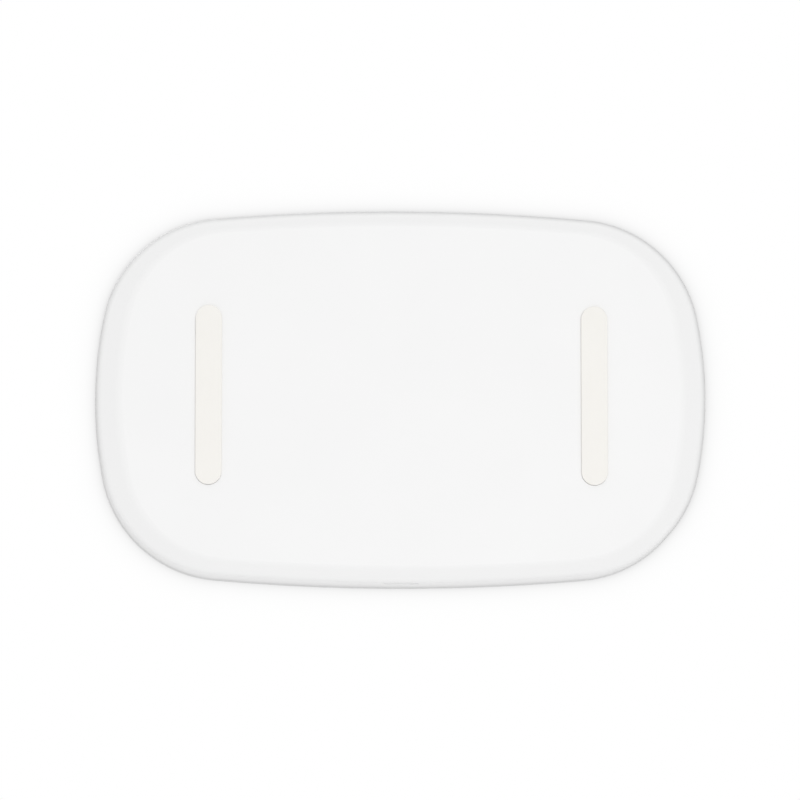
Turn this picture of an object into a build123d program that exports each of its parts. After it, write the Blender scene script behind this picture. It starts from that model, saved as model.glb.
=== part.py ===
from build123d import *
import os
from math import cos, radians, sin, sqrt, tan

# A free-standing ultraviolet sanitizer box for phones, with a wireless charger in its lid.
# X runs along its length, -Y is its front, +Y its hinge side, and it stands on its feet at z = 0.
# Millimetres throughout.

# ---------------------------------------------------------------- plan outline, at the parting line
HALF_LENGTH = 110.0
HALF_WIDTH = 67.5
SIDE_RADIUS = 767.0       # long, nearly straight front and rear curves
CORNER_RADIUS = 45.0
END_RADIUS = 144.0        # short left and right curves

# ---------------------------------------------------------------- case
FOOT_PROUD = 1.0          # how far the feet stand below the underside
PARTING_Z = 31.0          # height of the parting plane, which holds the hinge axis
PARTING_GAP = 0.5         # between the two rims when the lid is down
LID_RISE = 18.5           # parting plane to the lid's top face
WALL = 2.4
DRAFT = 2.0               # lean of the walls, in degrees, towards both flat faces
SHOULDER_END = 9.5        # reach of the soft shoulder at the left and right ends
SHOULDER_SIDE = 5.7       # and along the front and rear
SHOULDER_TURN = 24.0      # slope of the shoulder's straight run at the ends, in degrees
SHOULDER_BLEND = 6.0      # radius of the arc between flat face and run
SHOULDER_RIM = 3.2        # radius of the arc between run and wall
RIM_ROUND = 0.6           # rounding of the outer rim edges
SEAT_GAP = 0.3            # running room between parts that drop into each other
FACE_GAP = 0.1            # room left under a part that is glued or clamped

# ---------------------------------------------------------------- feet and case screws
FOOT_INSET = 41.2         # middle of each foot strip, in from the end of the outline
FOOT_LENGTH = 64.0
FOOT_WIDTH = 9.3
FOOT_RECESS = 1.2         # depth of the pocket that holds the strip
FOOT_ROUND = 0.45
CASE_SCREW_Y = 22.0       # screws hidden under the strips, front and rear of the middle
SCREW_RADIUS = 1.2
SCREW_HEAD_RADIUS = 2.6
SCREW_HEAD = 1.5
SCREW_PLAY = 0.06         # radial room round a screw in its pilot hole
SCREW_PASS = 0.35         # radial room round a screw in a clearance hole
BOSS_WALL = 1.9           # plastic round a screw
PAD_RISE = 2.2            # raised pad round each case screw, above the case floor
SCREW_BITE = 4.8          # depth of thread in the boss

# ---------------------------------------------------------------- chamber
CHAMBER_ROOM = 0.2        # tray's wall, behind the posts that hold the button board
SHEET = 1.6               # thickness of the tray and the liner
FLANGE_SET = 0.55         # tray and liner flanges below their rims
SERVICE_SPACE = 8.0       # between the case floor and the tray's floor
LID_SPACE = 4.5           # between the liner and the lid's ceiling
CHAMBER_ROUND = 5.0       # rounding at the chamber's floor and ceiling
MOUTH_BEVEL = 0.6         # bevel round the chamber's mouth
LIP_HEIGHT = 1.1          # light-stop rib round the chamber's mouth
LIP_WIDTH = 1.2
LIP_SET = 0.9             # rib, back from the chamber's mouth
LIP_ROUND = 0.4
LIP_BACK = 29.5           # the rib stops this far in from the rear of the outline
REFLECTOR = 0.5           # polished sheet on the floor and the ceiling
REFLECTOR_EDGE = 7.0      # sheet's edge, in from the chamber wall

# ---------------------------------------------------------------- hinge
AXIS_INSET = 3.2          # hinge axis, in from the rear of the outline
OPENING = 95.0            # degrees the lid opens
APEX_SET = 0.15           # V groove's apex, forward of the axis
KNUCKLE_RADIUS = 2.4
KNUCKLE_ROOM = 0.4        # room round a knuckle in the other half
KNUCKLE_GAP = 0.3         # along the axis, between knuckles
BEAM_INSET = 8.5          # front face of the hinge beam, in from the rear of the outline
BEAM_HALF = 72.0
BASE_BEAM = 8.0           # height of the hinge beam in the base
LID_BEAM = 6.5            # and in the lid
HINGE_START = 11.0        # inner end of each hinge, from the middle
BASE_KNUCKLE = 6.0
LID_KNUCKLE = 10.0
PIN_RADIUS = 1.0
PIN_FIT = 0.02            # radial room round the pin in the base, where it stays
PIN_RUN = 0.06            # and in the lid, which turns on it
PIN_SET = 0.6             # pin's ends, inside the outer knuckle faces

# ---------------------------------------------------------------- lid cable, which crosses on the hinge axis
CABLE_RADIUS = 0.9
CABLE_ROOM = 0.45         # round the cable in its sleeve
SLEEVE_HALF = 4.0         # half length of the hollow knuckle in the middle
CABLE_X = 7.6             # where the cable turns off the axis
CABLE_SLOT = 1.6          # slot in each beam, beyond the cable's middle
CABLE_JOIN = 0.15         # each half of the cable stops this far from the middle

# ---------------------------------------------------------------- circuit boards
BOARD = 1.2
SMALL_SCREW = 0.75
SMALL_HEAD_RADIUS = 1.7
SMALL_HEAD = 1.0
SMALL_POST = 2.2
PILOT_END = 0.5           # pilot hole beyond the tip of a screw
MAIN_HALF_X = 32.0
MAIN_INSET = 6.5          # main board's rear edge, in from the rear of the outline
MAIN_LAMP_GAP = 11.0      # its front edge, behind the lamp board
MAIN_POST_IN = 4.5        # posts, in from the board's corners

# ---------------------------------------------------------------- ultraviolet lamps
LAMP = 3.5                # side of a lamp
LAMP_HEIGHT = 1.2
WINDOW_RADIUS = 6.0
WINDOW = 1.0
WINDOW_LEDGE = 1.4
BASE_LAMP_X = 42.0
LID_LAMP_X = (40.0, 60.0)
LAMP_BOARD_HALF_Y = 9.0
LAMP_POST_X = 27.0        # board posts in the base
LAMP_POST_Y = 6.0
LAMP_BOARD_MARGIN = 9.0   # board beyond its outermost lamp

# ---------------------------------------------------------------- phone rests
REST_INSET = 46.0         # middle of each bar, in from the end of the outline
REST_WIDTH = 5.0
REST_END = 27.5           # its ends, in from the front and rear of the outline
REST_HEIGHT = 4.0
REST_PEG = 1.5
REST_PEG_IN = 8.0         # its pegs, in from its ends

# ---------------------------------------------------------------- power inlet, a small oval socket in the rear wall
SOCKET_WIDTH = 8.9
SOCKET_HEIGHT = 3.2
SOCKET_LENGTH = 7.2
SOCKET_SHELL = 0.35
SOCKET_SET = 0.8          # mouth, in from the wall's face
SOCKET_ROOM = 0.25
PLUG_DISH = 2.0           # dish round the socket for the plug's body
PLUG_DISH_DEPTH = 0.6
TONGUE_WIDTH = 6.7
TONGUE = 0.7
TONGUE_LENGTH = 5.0

# ---------------------------------------------------------------- front button, measured back from the wall's face
BUTTON_DROP = 11.5        # button's axis, below the parting plane
BUTTON_RADIUS = 6.0
BUTTON_PROUD = 0.3
BUTTON_TRAVEL = 0.5
BUTTON_ROOM = 0.25
BUTTON_FLANGE = 0.9
BUTTON_FLANGE_WIDTH = 1.2
BUTTON_ROUND = 0.5
RING_WIDTH = 1.7
RING_FLANGE = 1.0
RING_LEG = 0.75
SWITCH = 6.0
SWITCH_DEPTH = 3.1
SWITCH_STEM = 1.7
SWITCH_STEM_PROUD = 0.8
SWITCH_STEM_IN = 0.8
SWITCH_STEM_ROOM = 0.1
BUTTON_BOARD_HALF_X = 13.0
BUTTON_BOARD_HALF_Z = 7.5
STATUS_LAMP = 1.6
STATUS_LAMP_HEIGHT = 0.7
GUIDE = 3.2               # side of the posts that hold the board's edges
GUIDE_GROOVE = 1.2
BOARD_ROOM = 0.1

# ---------------------------------------------------------------- magnets
MAGNET_END = 50.0         # lid magnets, in from the ends of the outline
MAGNET_SET = 5.5          # magnets and lid screws, outwards from the chamber's wall
MAGNET_RADIUS = 3.0
MAGNET = 2.0
MAGNET_ROOM = 0.1
MAGNET_CUP = 1.0
SENSOR_X = 9.0

# ---------------------------------------------------------------- lid fittings
LID_SCREW_TURN = 45.0     # degrees round the corner arc, where the lid screws stand
LID_SCREW_CUP = 4.2       # height of the cup that sinks the screw head
BUMPER_ROOM = 0.15
BUMPER_GAP = 0.2          # bumper to the tray's flange when the lid is down
PAD_OUTER = 32.0          # silicone ring on the lid
PAD_INNER = 26.0
PAD_GROOVE = 0.8
PAD_PROUD = 0.5
PAD_ROUND = 0.4
COIL_OUTER = 21.5
COIL_INNER = 10.0
COIL = 1.2
FERRITE_RADIUS = 24.0
FERRITE = 0.7
FERRITE_POST_AT = 20.0    # posts under the ferrite, from the middle
CHARGER_HALF_X = 28.0
CHARGER_INSET = 18.5      # charger board's rear edge, in from the rear of the outline
CHARGER_GAP = 4.0         # its front edge, behind the ferrite
WIRE_RADIUS = 0.6
LEAD_RADIUS = 0.45        # coil leads
LEAD_X = 3.0

# ---------------------------------------------------------------- parts soldered to the boards
CHIP = 7.0
CHIP_HEIGHT = 1.1
COIL_BOX = 6.5            # power inductor
COIL_BOX_HEIGHT = 2.6
CAN_RADIUS = 2.0          # capacitors
CAN_HEIGHT = 2.7
PLUG = (6.0, 4.0, 1.8)    # wire plug: along its row of wires, across it, height
WIRE_PITCH = 1.4
UNDER_WIRES_Z = 2.2       # wires that run under the tray, above the case floor

# ---------------------------------------------------------------- heights that follow from the sizes above
UNDERSIDE_Z = FOOT_PROUD
FLOOR_Z = UNDERSIDE_Z + WALL
BASE_RIM_Z = PARTING_Z - PARTING_GAP / 2
LID_RIM_Z = PARTING_Z + PARTING_GAP / 2
LID_TOP_Z = PARTING_Z + LID_RISE
CEILING_Z = LID_TOP_Z - WALL
FLANGE_INSET = WALL + SEAT_GAP
TRAY_TOP_Z = BASE_RIM_Z - FLANGE_SET
TRAY_UNDER_Z = FLOOR_Z + SERVICE_SPACE
TRAY_FLOOR_Z = TRAY_UNDER_Z + SHEET
LINER_RIM_Z = LID_RIM_Z + FLANGE_SET
LINER_TOP_Z = CEILING_Z - LID_SPACE
LINER_CEILING_Z = LINER_TOP_Z - SHEET
BUTTON_Z = PARTING_Z - BUTTON_DROP
BUTTON_BOARD_Z = (BUTTON_Z - BUTTON_BOARD_HALF_Z, BUTTON_Z + BUTTON_BOARD_HALF_Z)
RING_RADIUS = BUTTON_RADIUS + BUTTON_ROOM + RING_WIDTH
RING_FLANGE_AT = WALL + (RING_RADIUS + RING_LEG) * tan(radians(DRAFT)) + FACE_GAP
BUTTON_FLANGE_AT = RING_FLANGE_AT + RING_FLANGE + FACE_GAP / 2
STEM_AT = BUTTON_FLANGE_AT + BUTTON_FLANGE + FACE_GAP / 2
SWITCH_AT = STEM_AT + SWITCH_STEM_PROUD
FRONT_LEAN = (BASE_RIM_Z - BUTTON_Z) * tan(radians(DRAFT))
GUIDE_END = SWITCH_AT + SWITCH_DEPTH + (BOARD + GUIDE) / 2
CHAMBER_INSET = FRONT_LEAN + GUIDE_END + CHAMBER_ROOM + SHEET
MAGNET_INSET = CHAMBER_INSET - MAGNET_SET
LIP_INSET = CHAMBER_INSET - LIP_SET
FOOT_X = HALF_LENGTH - FOOT_INSET
REST_X = HALF_LENGTH - REST_INSET
REST_HALF = HALF_WIDTH - REST_END
MAGNET_X = HALF_LENGTH - MAGNET_END
MAIN_Y = (LAMP_BOARD_HALF_Y + MAIN_LAMP_GAP, HALF_WIDTH - MAIN_INSET)
CHARGER_Y = (FERRITE_RADIUS + CHARGER_GAP, HALF_WIDTH - CHARGER_INSET)
AXIS_Y = HALF_WIDTH - AXIS_INSET
BEAM_Y = HALF_WIDTH - BEAM_INSET
TURN = radians(SHOULDER_TURN)
SHOULDER_RUN = SHOULDER_END - SHOULDER_BLEND * sin(TURN) - SHOULDER_RIM * (1 - sin(TURN))
SHOULDER_HEIGHT = SHOULDER_BLEND * (1 - cos(TURN)) + SHOULDER_RUN * tan(TURN) + SHOULDER_RIM * cos(TURN)
ARC_STEPS = 4

LEFT_RIGHT = (-1, 1)
CORNERS = ((-1, -1), (-1, 1), (1, -1), (1, 1))


# ================================================================ plain solids
def block(x0, x1, y0, y1, z0, z1):
    """Box between two corners."""
    centre = Pos((x0 + x1) / 2, (y0 + y1) / 2, (z0 + z1) / 2)
    return centre * Box(x1 - x0, y1 - y0, z1 - z0)


def rod(radius, x, y, z0, z1):
    """Upright cylinder between two heights."""
    return Pos(x, y, (z0 + z1) / 2) * Cylinder(radius, z1 - z0)


def barrel(radius, x0, x1):
    """Cylinder on the hinge axis."""
    return Pos((x0 + x1) / 2, AXIS_Y, PARTING_Z) * Rot(0, 90, 0) * Cylinder(radius, x1 - x0)


def stadium(length, width, height):
    """Upright slab with round ends, its length along X, standing on z = 0."""
    return extrude(SlotOverall(length, width), height)


def rounded(solid, radius, direction=-1):
    """The solid with the edges of its lowest (-1) or highest (1) face rounded."""
    face = solid.faces().sort_by(Axis.Z)[0 if direction < 0 else -1]
    return fillet(face.edges(), radius)


def wire(points, radius):
    """Round wire through the points, each bend as large as its two runs allow."""
    runs = [Vector(*b) - Vector(*a) for a, b in zip(points, points[1:])]
    bends = [0.45 * min(a.length, b.length) / tan(radians(a.get_angle(b) / 2)) for a, b in zip(runs, runs[1:])]
    path = FilletPolyline(*points, radius=bends)
    return sweep(Plane(path @ 0, z_dir=path % 0) * Circle(radius), path=path)


# ================================================================ the case form
def corner_centre(half_length, half_width, side, corner, end):
    """Centre of the corner arc that is tangent to the side arc and to the end arc."""
    low, left = Vector(0, half_width - side), Vector(half_length - end, 0)
    from_low, from_left = side - corner, end - corner
    apart = (left - low).length
    along = (from_low ** 2 - from_left ** 2 + apart ** 2) / (2 * apart)
    unit = (left - low) / apart
    foot, off = low + unit * along, sqrt(from_low ** 2 - along ** 2)
    return max((foot + Vector(-unit.Y, unit.X) * s * off for s in LEFT_RIGHT), key=lambda v: v.X + v.Y)


def outline(inset_end, inset_side):
    """Plan outline of eight tangent arcs, drawn in by the two insets."""
    a, b = HALF_LENGTH - inset_end, HALF_WIDTH - inset_side
    side, end = SIDE_RADIUS - inset_side, END_RADIUS - inset_end
    corner = CORNER_RADIUS - (inset_end + inset_side) / 2
    centre = corner_centre(a, b, side, corner, end)
    to_side = (centre - Vector(0, b - side)).normalized()
    to_end = (centre - Vector(a - end, 0)).normalized()
    p, q = centre + to_side * corner, centre + to_end * corner
    m = centre + (to_side + to_end).normalized() * corner
    quarter = [(p, m, q)]
    arcs = [ThreePointArc((-p.X, s * p.Y), (0, s * b), (p.X, s * p.Y)) for s in LEFT_RIGHT]
    arcs += [ThreePointArc((s * q.X, -q.Y), (s * a, 0), (s * q.X, q.Y)) for s in LEFT_RIGHT]
    arcs += [ThreePointArc(*[(sx * v.X, sy * v.Y) for v in quarter[0]]) for sx, sy in CORNERS]
    return Face(Wire(arcs))


def slab(inset, z0, z1):
    """Straight-sided slab of the outline."""
    return extrude(Pos(0, 0, z0) * outline(inset, inset), z1 - z0)


def shoulder_profile():
    """The shoulder's two arcs, each as points: share of its reach left, share of its height."""
    steps = [n / ARC_STEPS for n in range(ARC_STEPS + 1)]
    blend = [(SHOULDER_BLEND * sin(t * TURN), SHOULDER_BLEND * (1 - cos(t * TURN))) for t in steps]
    turns = [TURN + (radians(90) - TURN) * t for t in steps]
    rim = [(SHOULDER_END - SHOULDER_RIM * (1 - sin(t)), SHOULDER_HEIGHT - SHOULDER_RIM * cos(t)) for t in turns]
    return [[(1 - x / SHOULDER_END, z / SHOULDER_HEIGHT) for x, z in arc] for arc in (blend, rim)]


def case_form(height, depth=0.0):
    """One half of the case, flat face down at z = depth and rim at z = height, drawn in by depth."""
    def section(z, share):
        lean = (height - z) * tan(radians(DRAFT))
        reach = [depth + lean + share * (size - depth) for size in (SHOULDER_END, SHOULDER_SIDE)]
        return Pos(0, 0, z) * outline(*reach)

    blend, rim = [[section(depth + rise * (SHOULDER_HEIGHT - depth), share) for share, rise in arc]
                  for arc in shoulder_profile()]
    straight = [loft([blend[-1], rim[0]], ruled=True), loft([rim[-1], section(height, 0)], ruled=True)]
    return loft(blend) + loft(rim) + straight


def on_outline(x, inset):
    """Y of the front or rear curve at x, drawn in by the inset."""
    return sqrt((SIDE_RADIUS - inset) ** 2 - x ** 2) - SIDE_RADIUS + HALF_WIDTH


def lid_screw_places():
    """The four corners' screw and bumper places, on the corner arc drawn in to the flange's middle."""
    centre = corner_centre(HALF_LENGTH, HALF_WIDTH, SIDE_RADIUS, CORNER_RADIUS, END_RADIUS)
    reach, turn = CORNER_RADIUS - MAGNET_INSET, radians(LID_SCREW_TURN)
    x, y = centre.X + reach * cos(turn), centre.Y + reach * sin(turn)
    return [(sx * x, sy * y) for sx, sy in CORNERS]


# ================================================================ hinge
def hinge_spans():
    """Each side's knuckles from the middle outwards: base, lid, base."""
    first = HINGE_START + BASE_KNUCKLE
    second = first + KNUCKLE_GAP + LID_KNUCKLE
    last = second + KNUCKLE_GAP
    return (HINGE_START, first), (first + KNUCKLE_GAP, second), (last, last + BASE_KNUCKLE)


def both_sides(span):
    """A span of X and its mirror image, lower end first."""
    return [span, (-span[1], -span[0])]


BASE_SPANS = both_sides(hinge_spans()[0]) + both_sides(hinge_spans()[2])
LID_SPANS = both_sides(hinge_spans()[1])
SLEEVE_SPAN = (-SLEEVE_HALF, SLEEVE_HALF)


def groove(up):
    """Wedge that opens the V groove behind the axis; up is 1 for the lid's half and -1 for the base's."""
    reach = 3 * AXIS_INSET + BEAM_INSET
    slope = tan(radians(OPENING / 2))
    apex_y, top = AXIS_Y - APEX_SET, PARTING_Z - up * reach
    face = Polyline((apex_y, PARTING_Z), (apex_y + reach, PARTING_Z + up * reach * slope),
                    (apex_y + reach, top), (apex_y, top), close=True)
    side = Plane(origin=(-HALF_LENGTH, 0, 0), x_dir=(0, 1, 0), z_dir=(1, 0, 0))
    return extrude(side * make_face(face), 2 * HALF_LENGTH)


def hinge_half(form, own_spans, other_spans, z0, z1, up, side):
    """The hinge beam and knuckles of one half, and what has to be cut from it.

    up is as for groove(), and side is where this half's cable leaves the axis, -1 left and 1 right.
    """
    beam = form & block(-BEAM_HALF, BEAM_HALF, BEAM_Y, HALF_WIDTH, z0, z1)
    beam -= groove(up)
    for x0, x1 in own_spans:
        beam += barrel(KNUCKLE_RADIUS, x0, x1)
    room = KNUCKLE_RADIUS + KNUCKLE_ROOM
    cuts = [barrel(room, x0 - KNUCKLE_GAP, x1 + KNUCKLE_GAP) for x0, x1 in other_spans]
    outer = CABLE_X + CABLE_SLOT
    slot_x = sorted((side * SLEEVE_HALF, side * outer))
    cuts.append(block(*slot_x, BEAM_Y - SHEET, AXIS_Y + CABLE_SLOT, z0 - SHEET, z1 + SHEET))
    cuts.append(barrel(CABLE_RADIUS + CABLE_ROOM, -outer, outer))
    return beam, cuts


def hinge_pin(side):
    inner, _, outer = hinge_spans()
    ends = sorted((side * (inner[0] + PIN_SET), side * (outer[1] - PIN_SET)))
    return barrel(PIN_RADIUS, *ends)


# ================================================================ base: case, feet, screws
def foot_pocket(side, grow, z0, z1):
    strip = stadium(FOOT_LENGTH + 2 * grow, FOOT_WIDTH + 2 * grow, z1 - z0)
    return Pos(side * FOOT_X, 0, z0) * Rot(0, 0, 90) * strip


def foot(side):
    strip = foot_pocket(side, 0, 0, UNDERSIDE_Z + FOOT_RECESS)
    return rounded(strip, FOOT_ROUND)


CASE_SCREWS = [(sx * FOOT_X, sy * CASE_SCREW_Y) for sx, sy in CORNERS]
CASE_HEAD_Z = UNDERSIDE_Z + FOOT_RECESS + SCREW_HEAD + FACE_GAP
PAD_TOP_Z = FLOOR_Z + PAD_RISE
MAIN_TOP_Z = TRAY_UNDER_Z - SOCKET_HEIGHT
MAIN_UNDER_Z = MAIN_TOP_Z - BOARD
MAIN_POSTS = [(s * (MAIN_HALF_X - MAIN_POST_IN), y) for s in LEFT_RIGHT
              for y in (MAIN_Y[0] + MAIN_POST_IN, MAIN_Y[1] - 2 * MAIN_POST_IN)]


def wall_y(z):
    """Y of the base's rear wall face, on the middle line, above its shoulder."""
    return HALF_WIDTH - (BASE_RIM_Z - z) * tan(radians(DRAFT))


FRONT_Y = -wall_y(BUTTON_Z)
SOCKET_Z = MAIN_TOP_Z + SOCKET_HEIGHT / 2
SOCKET_MOUTH_Y = wall_y(SOCKET_Z) - SOCKET_SET
BUTTON_BOARD_Y = FRONT_Y + SWITCH_AT + SWITCH_DEPTH
LEG_X = RING_RADIUS + RING_LEG / 2


def behind(depth0, depth1, x, z, radius):
    """Cylinder through the front wall, between two depths behind its face."""
    centre = Pos(x, FRONT_Y + (depth0 + depth1) / 2, z) * Rot(90, 0, 0)
    return centre * Cylinder(radius, depth1 - depth0)


def oval(width, height, y0, y1):
    """Round-ended slot shape along Y at the socket's height."""
    return Pos(0, y0, SOCKET_Z) * Rot(-90, 0, 0) * stadium(width, height, y1 - y0)


def board_guides():
    """Two grooved posts that hold the button board by its edges."""
    guides = []
    for side in LEFT_RIGHT:
        edge = side * (BUTTON_BOARD_HALF_X - GUIDE_GROOVE)
        ends = sorted((edge, edge + side * GUIDE))
        y1 = FRONT_Y + GUIDE_END
        guides.append(block(*ends, y1 - GUIDE, y1, FLOOR_Z - FACE_GAP, BUTTON_BOARD_Z[1] - GUIDE))
    slot_x = BUTTON_BOARD_HALF_X + BOARD_ROOM
    slot = block(-slot_x, slot_x, BUTTON_BOARD_Y - BOARD_ROOM, BUTTON_BOARD_Y + BOARD + BOARD_ROOM,
                 BUTTON_BOARD_Z[0], BUTTON_BOARD_Z[1] + BOARD_ROOM)
    return [guide - slot for guide in guides]


def base_form(depth=0.0):
    """The base's outer form, or the form of its inside where depth is the wall."""
    return Pos(0, 0, UNDERSIDE_Z) * case_form(BASE_RIM_Z - UNDERSIDE_Z, depth)


def bottom_shell():
    form = rounded(base_form(), RIM_ROUND, 1)
    hollow = base_form(WALL)
    hollow += slab(WALL, BASE_RIM_Z, BASE_RIM_Z + WALL)
    beam, cuts = hinge_half(form, BASE_SPANS + [SLEEVE_SPAN], LID_SPANS, BASE_RIM_Z - BASE_BEAM,
                            BASE_RIM_Z, -1, -1)
    shell = form - hollow - groove(-1) + beam
    for side in LEFT_RIGHT:
        cuts.append(foot_pocket(side, FACE_GAP, UNDERSIDE_Z - WALL, UNDERSIDE_Z + FOOT_RECESS))
    for x, y in CASE_SCREWS:
        shell += rod(SCREW_HEAD_RADIUS + BOSS_WALL, x, y, FLOOR_Z - FACE_GAP, PAD_TOP_Z)
        cuts.append(rod(SCREW_HEAD_RADIUS + SCREW_PASS, x, y, UNDERSIDE_Z, CASE_HEAD_Z))
        cuts.append(rod(SCREW_RADIUS + SCREW_PASS, x, y, UNDERSIDE_Z, PAD_TOP_Z + WALL))
    for x, y in MAIN_POSTS:
        shell += rod(SMALL_POST, x, y, FLOOR_Z - FACE_GAP, MAIN_UNDER_Z)
        cuts.append(rod(SMALL_SCREW + SCREW_PLAY, x, y, FLOOR_Z, MAIN_UNDER_Z + WALL))
    shell += board_guides()
    cuts.append(behind(-WALL, 2 * WALL, 0, BUTTON_Z, RING_RADIUS + FACE_GAP))
    room = 2 * SOCKET_ROOM
    mouth = wall_y(SOCKET_Z)
    cuts.append(oval(SOCKET_WIDTH + room, SOCKET_HEIGHT + room, mouth - 2 * WALL, mouth + WALL))
    cuts.append(oval(SOCKET_WIDTH + 2 * PLUG_DISH, SOCKET_HEIGHT + 2 * PLUG_DISH,
                     mouth - PLUG_DISH_DEPTH, mouth + WALL))
    for side in LEFT_RIGHT:
        ends = sorted((side * (HINGE_START + PIN_SET), side * hinge_spans()[2][1]))
        cuts.append(barrel(PIN_RADIUS + PIN_FIT, *ends))
    return shell - cuts


def base_screws():
    """Case screws with crossed recesses in their heads, up through the floor into the tray's bosses."""
    seat = CASE_HEAD_Z - SCREW_HEAD
    tip = PAD_TOP_Z + SCREW_BITE
    return [screw(x, y, seat, CASE_HEAD_Z, tip, SCREW_HEAD_RADIUS, SCREW_RADIUS) for x, y in CASE_SCREWS]


def screw(x, y, head_z, seat_z, tip_z, head_radius, shank_radius):
    """One screw: head from head_z to seat_z, shank on to tip_z, either way up."""
    head = rod(head_radius, x, y, *sorted((head_z, seat_z)))
    shank = rod(shank_radius, x, y, *sorted((seat_z, tip_z)))
    up = 1 if seat_z > head_z else -1
    depth = abs(seat_z - head_z) / 2
    arm, width = head_radius * 0.6, head_radius * 0.18
    z0, z1 = sorted((head_z - up * depth, head_z + up * depth))
    cross = [block(x - dx, x + dx, y - dy, y + dy, z0, z1) for dx, dy in ((arm, width), (width, arm))]
    return head + shank - cross


# ================================================================ base: tray and what it holds
def hinge_room(z0, z1):
    """Space taken by a hinge beam, which the tray's and the liner's flanges leave free."""
    half = BEAM_HALF + SEAT_GAP
    return block(-half, half, BEAM_Y - SEAT_GAP, HALF_WIDTH, z0, z1)


def magnet_places():
    y = -on_outline(MAGNET_X, MAGNET_INSET)
    return [(s * MAGNET_X, y) for s in LEFT_RIGHT]


SENSOR_PLACE = (SENSOR_X, -on_outline(SENSOR_X, MAGNET_INSET))
LAMP_BOARD_TOP_Z = TRAY_UNDER_Z - LAMP_HEIGHT - FACE_GAP
LAMP_POSTS = [(sx * LAMP_POST_X, sy * LAMP_POST_Y) for sx, sy in CORNERS]
BASE_LAMPS = [(s * BASE_LAMP_X, 0) for s in LEFT_RIGHT]
REST_PEGS = [(sx * REST_X, sy * (REST_HALF - REST_PEG_IN)) for sx, sy in CORNERS]


def window_cuts(places, inner_z, outer_z):
    """Stepped hole for each window, entered from the chamber's side at inner_z."""
    step = inner_z + (WINDOW + FACE_GAP if outer_z > inner_z else -WINDOW - FACE_GAP)
    wide, narrow = WINDOW_RADIUS + FACE_GAP, WINDOW_RADIUS - WINDOW_LEDGE
    cuts = [rod(wide, x, y, *sorted((2 * inner_z - step, step))) for x, y in places]
    return cuts + [rod(narrow, x, y, *sorted((inner_z, outer_z))) for x, y in places]


def magnet_cup(x, y, z, up):
    """Ring that holds a magnet against a flange face at z."""
    radius = MAGNET_RADIUS + MAGNET_ROOM
    ends = sorted((z, z + up * (MAGNET + FACE_GAP)))
    return rod(radius + MAGNET_CUP, x, y, *ends) - rod(radius, x, y, *ends)


def mouth_bevel(z, inwards):
    """Slanted cut round the chamber's mouth at z; inwards is -1 down into the tray and 1 up into the liner."""
    wide = CHAMBER_INSET - MOUTH_BEVEL
    faces = [Pos(0, 0, z) * outline(wide, wide),
             Pos(0, 0, z + inwards * MOUTH_BEVEL) * outline(CHAMBER_INSET, CHAMBER_INSET)]
    return loft(faces, ruled=True)


def inner_tray():
    under = TRAY_TOP_Z - SHEET
    tray = slab(FLANGE_INSET, under, TRAY_TOP_Z)
    tray += rounded(slab(CHAMBER_INSET - SHEET, TRAY_UNDER_Z, TRAY_TOP_Z), CHAMBER_ROUND + SHEET)
    lip = rounded(slab(LIP_INSET - LIP_WIDTH, TRAY_TOP_Z, TRAY_TOP_Z + LIP_HEIGHT), LIP_ROUND, 1)
    lip -= slab(LIP_INSET, TRAY_TOP_Z, TRAY_TOP_Z + LIP_HEIGHT)
    tray += lip - block(-HALF_LENGTH, HALF_LENGTH, HALF_WIDTH - LIP_BACK, HALF_WIDTH, TRAY_TOP_Z, PARTING_Z + LIP_HEIGHT)
    tray -= rounded(slab(CHAMBER_INSET, TRAY_FLOOR_Z, TRAY_TOP_Z + LIP_HEIGHT), CHAMBER_ROUND)
    tray -= mouth_bevel(TRAY_TOP_Z, -1)
    tray -= hinge_room(under - SHEET, PARTING_Z + LIP_HEIGHT)
    for x, y in CASE_SCREWS:
        tray += rod(SCREW_RADIUS + BOSS_WALL, x, y, PAD_TOP_Z, TRAY_UNDER_Z)
    for x, y in LAMP_POSTS:
        tray += rod(SMALL_POST, x, y, LAMP_BOARD_TOP_Z, TRAY_UNDER_Z)
    tray += [magnet_cup(x, y, under, -1) for x, y in magnet_places()]
    cuts = window_cuts(BASE_LAMPS, TRAY_FLOOR_Z, TRAY_UNDER_Z)
    for x, y in CASE_SCREWS:
        cuts.append(rod(SCREW_RADIUS + SCREW_PLAY, x, y, PAD_TOP_Z, PAD_TOP_Z + SCREW_BITE + PILOT_END))
    for x, y in LAMP_POSTS:
        cuts.append(rod(SMALL_SCREW + SCREW_PLAY, x, y, LAMP_BOARD_TOP_Z, TRAY_UNDER_Z + PILOT_END))
    cuts += [rod(REST_PEG + FACE_GAP, x, y, TRAY_UNDER_Z, TRAY_FLOOR_Z) for x, y in REST_PEGS]
    return tray - cuts


def reflector(places, pegs, z0, z1):
    """Polished sheet with holes for the windows and for the phone rests' pegs."""
    sheet = slab(CHAMBER_INSET + REFLECTOR_EDGE, z0, z1)
    sheet -= [rod(WINDOW_RADIUS + FACE_GAP, x, y, z0, z1) for x, y in places]
    return sheet - [rod(REST_PEG + FACE_GAP, x, y, z0, z1) for x, y in pegs] if pegs else sheet


def phone_rest(side):
    """Clear bar with a rounded top that holds the phone off the floor, pegged through the tray."""
    low = TRAY_FLOOR_Z + REFLECTOR
    bar = Pos(side * REST_X, 0, low) * Rot(0, 0, 90) * stadium(2 * REST_HALF, REST_WIDTH, REST_HEIGHT)
    bar = rounded(bar, REST_WIDTH / 2 - FACE_GAP, 1)
    return bar + [rod(REST_PEG, x, y, TRAY_UNDER_Z, low) for x, y in REST_PEGS if x * side > 0]


def lamps(places, z0):
    """Ultraviolet lamps: square packages with a domed lens."""
    half = LAMP / 2
    return [block(x - half, x + half, y - half, y + half, z0, z0 + LAMP_HEIGHT) for x, y in places]


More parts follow.
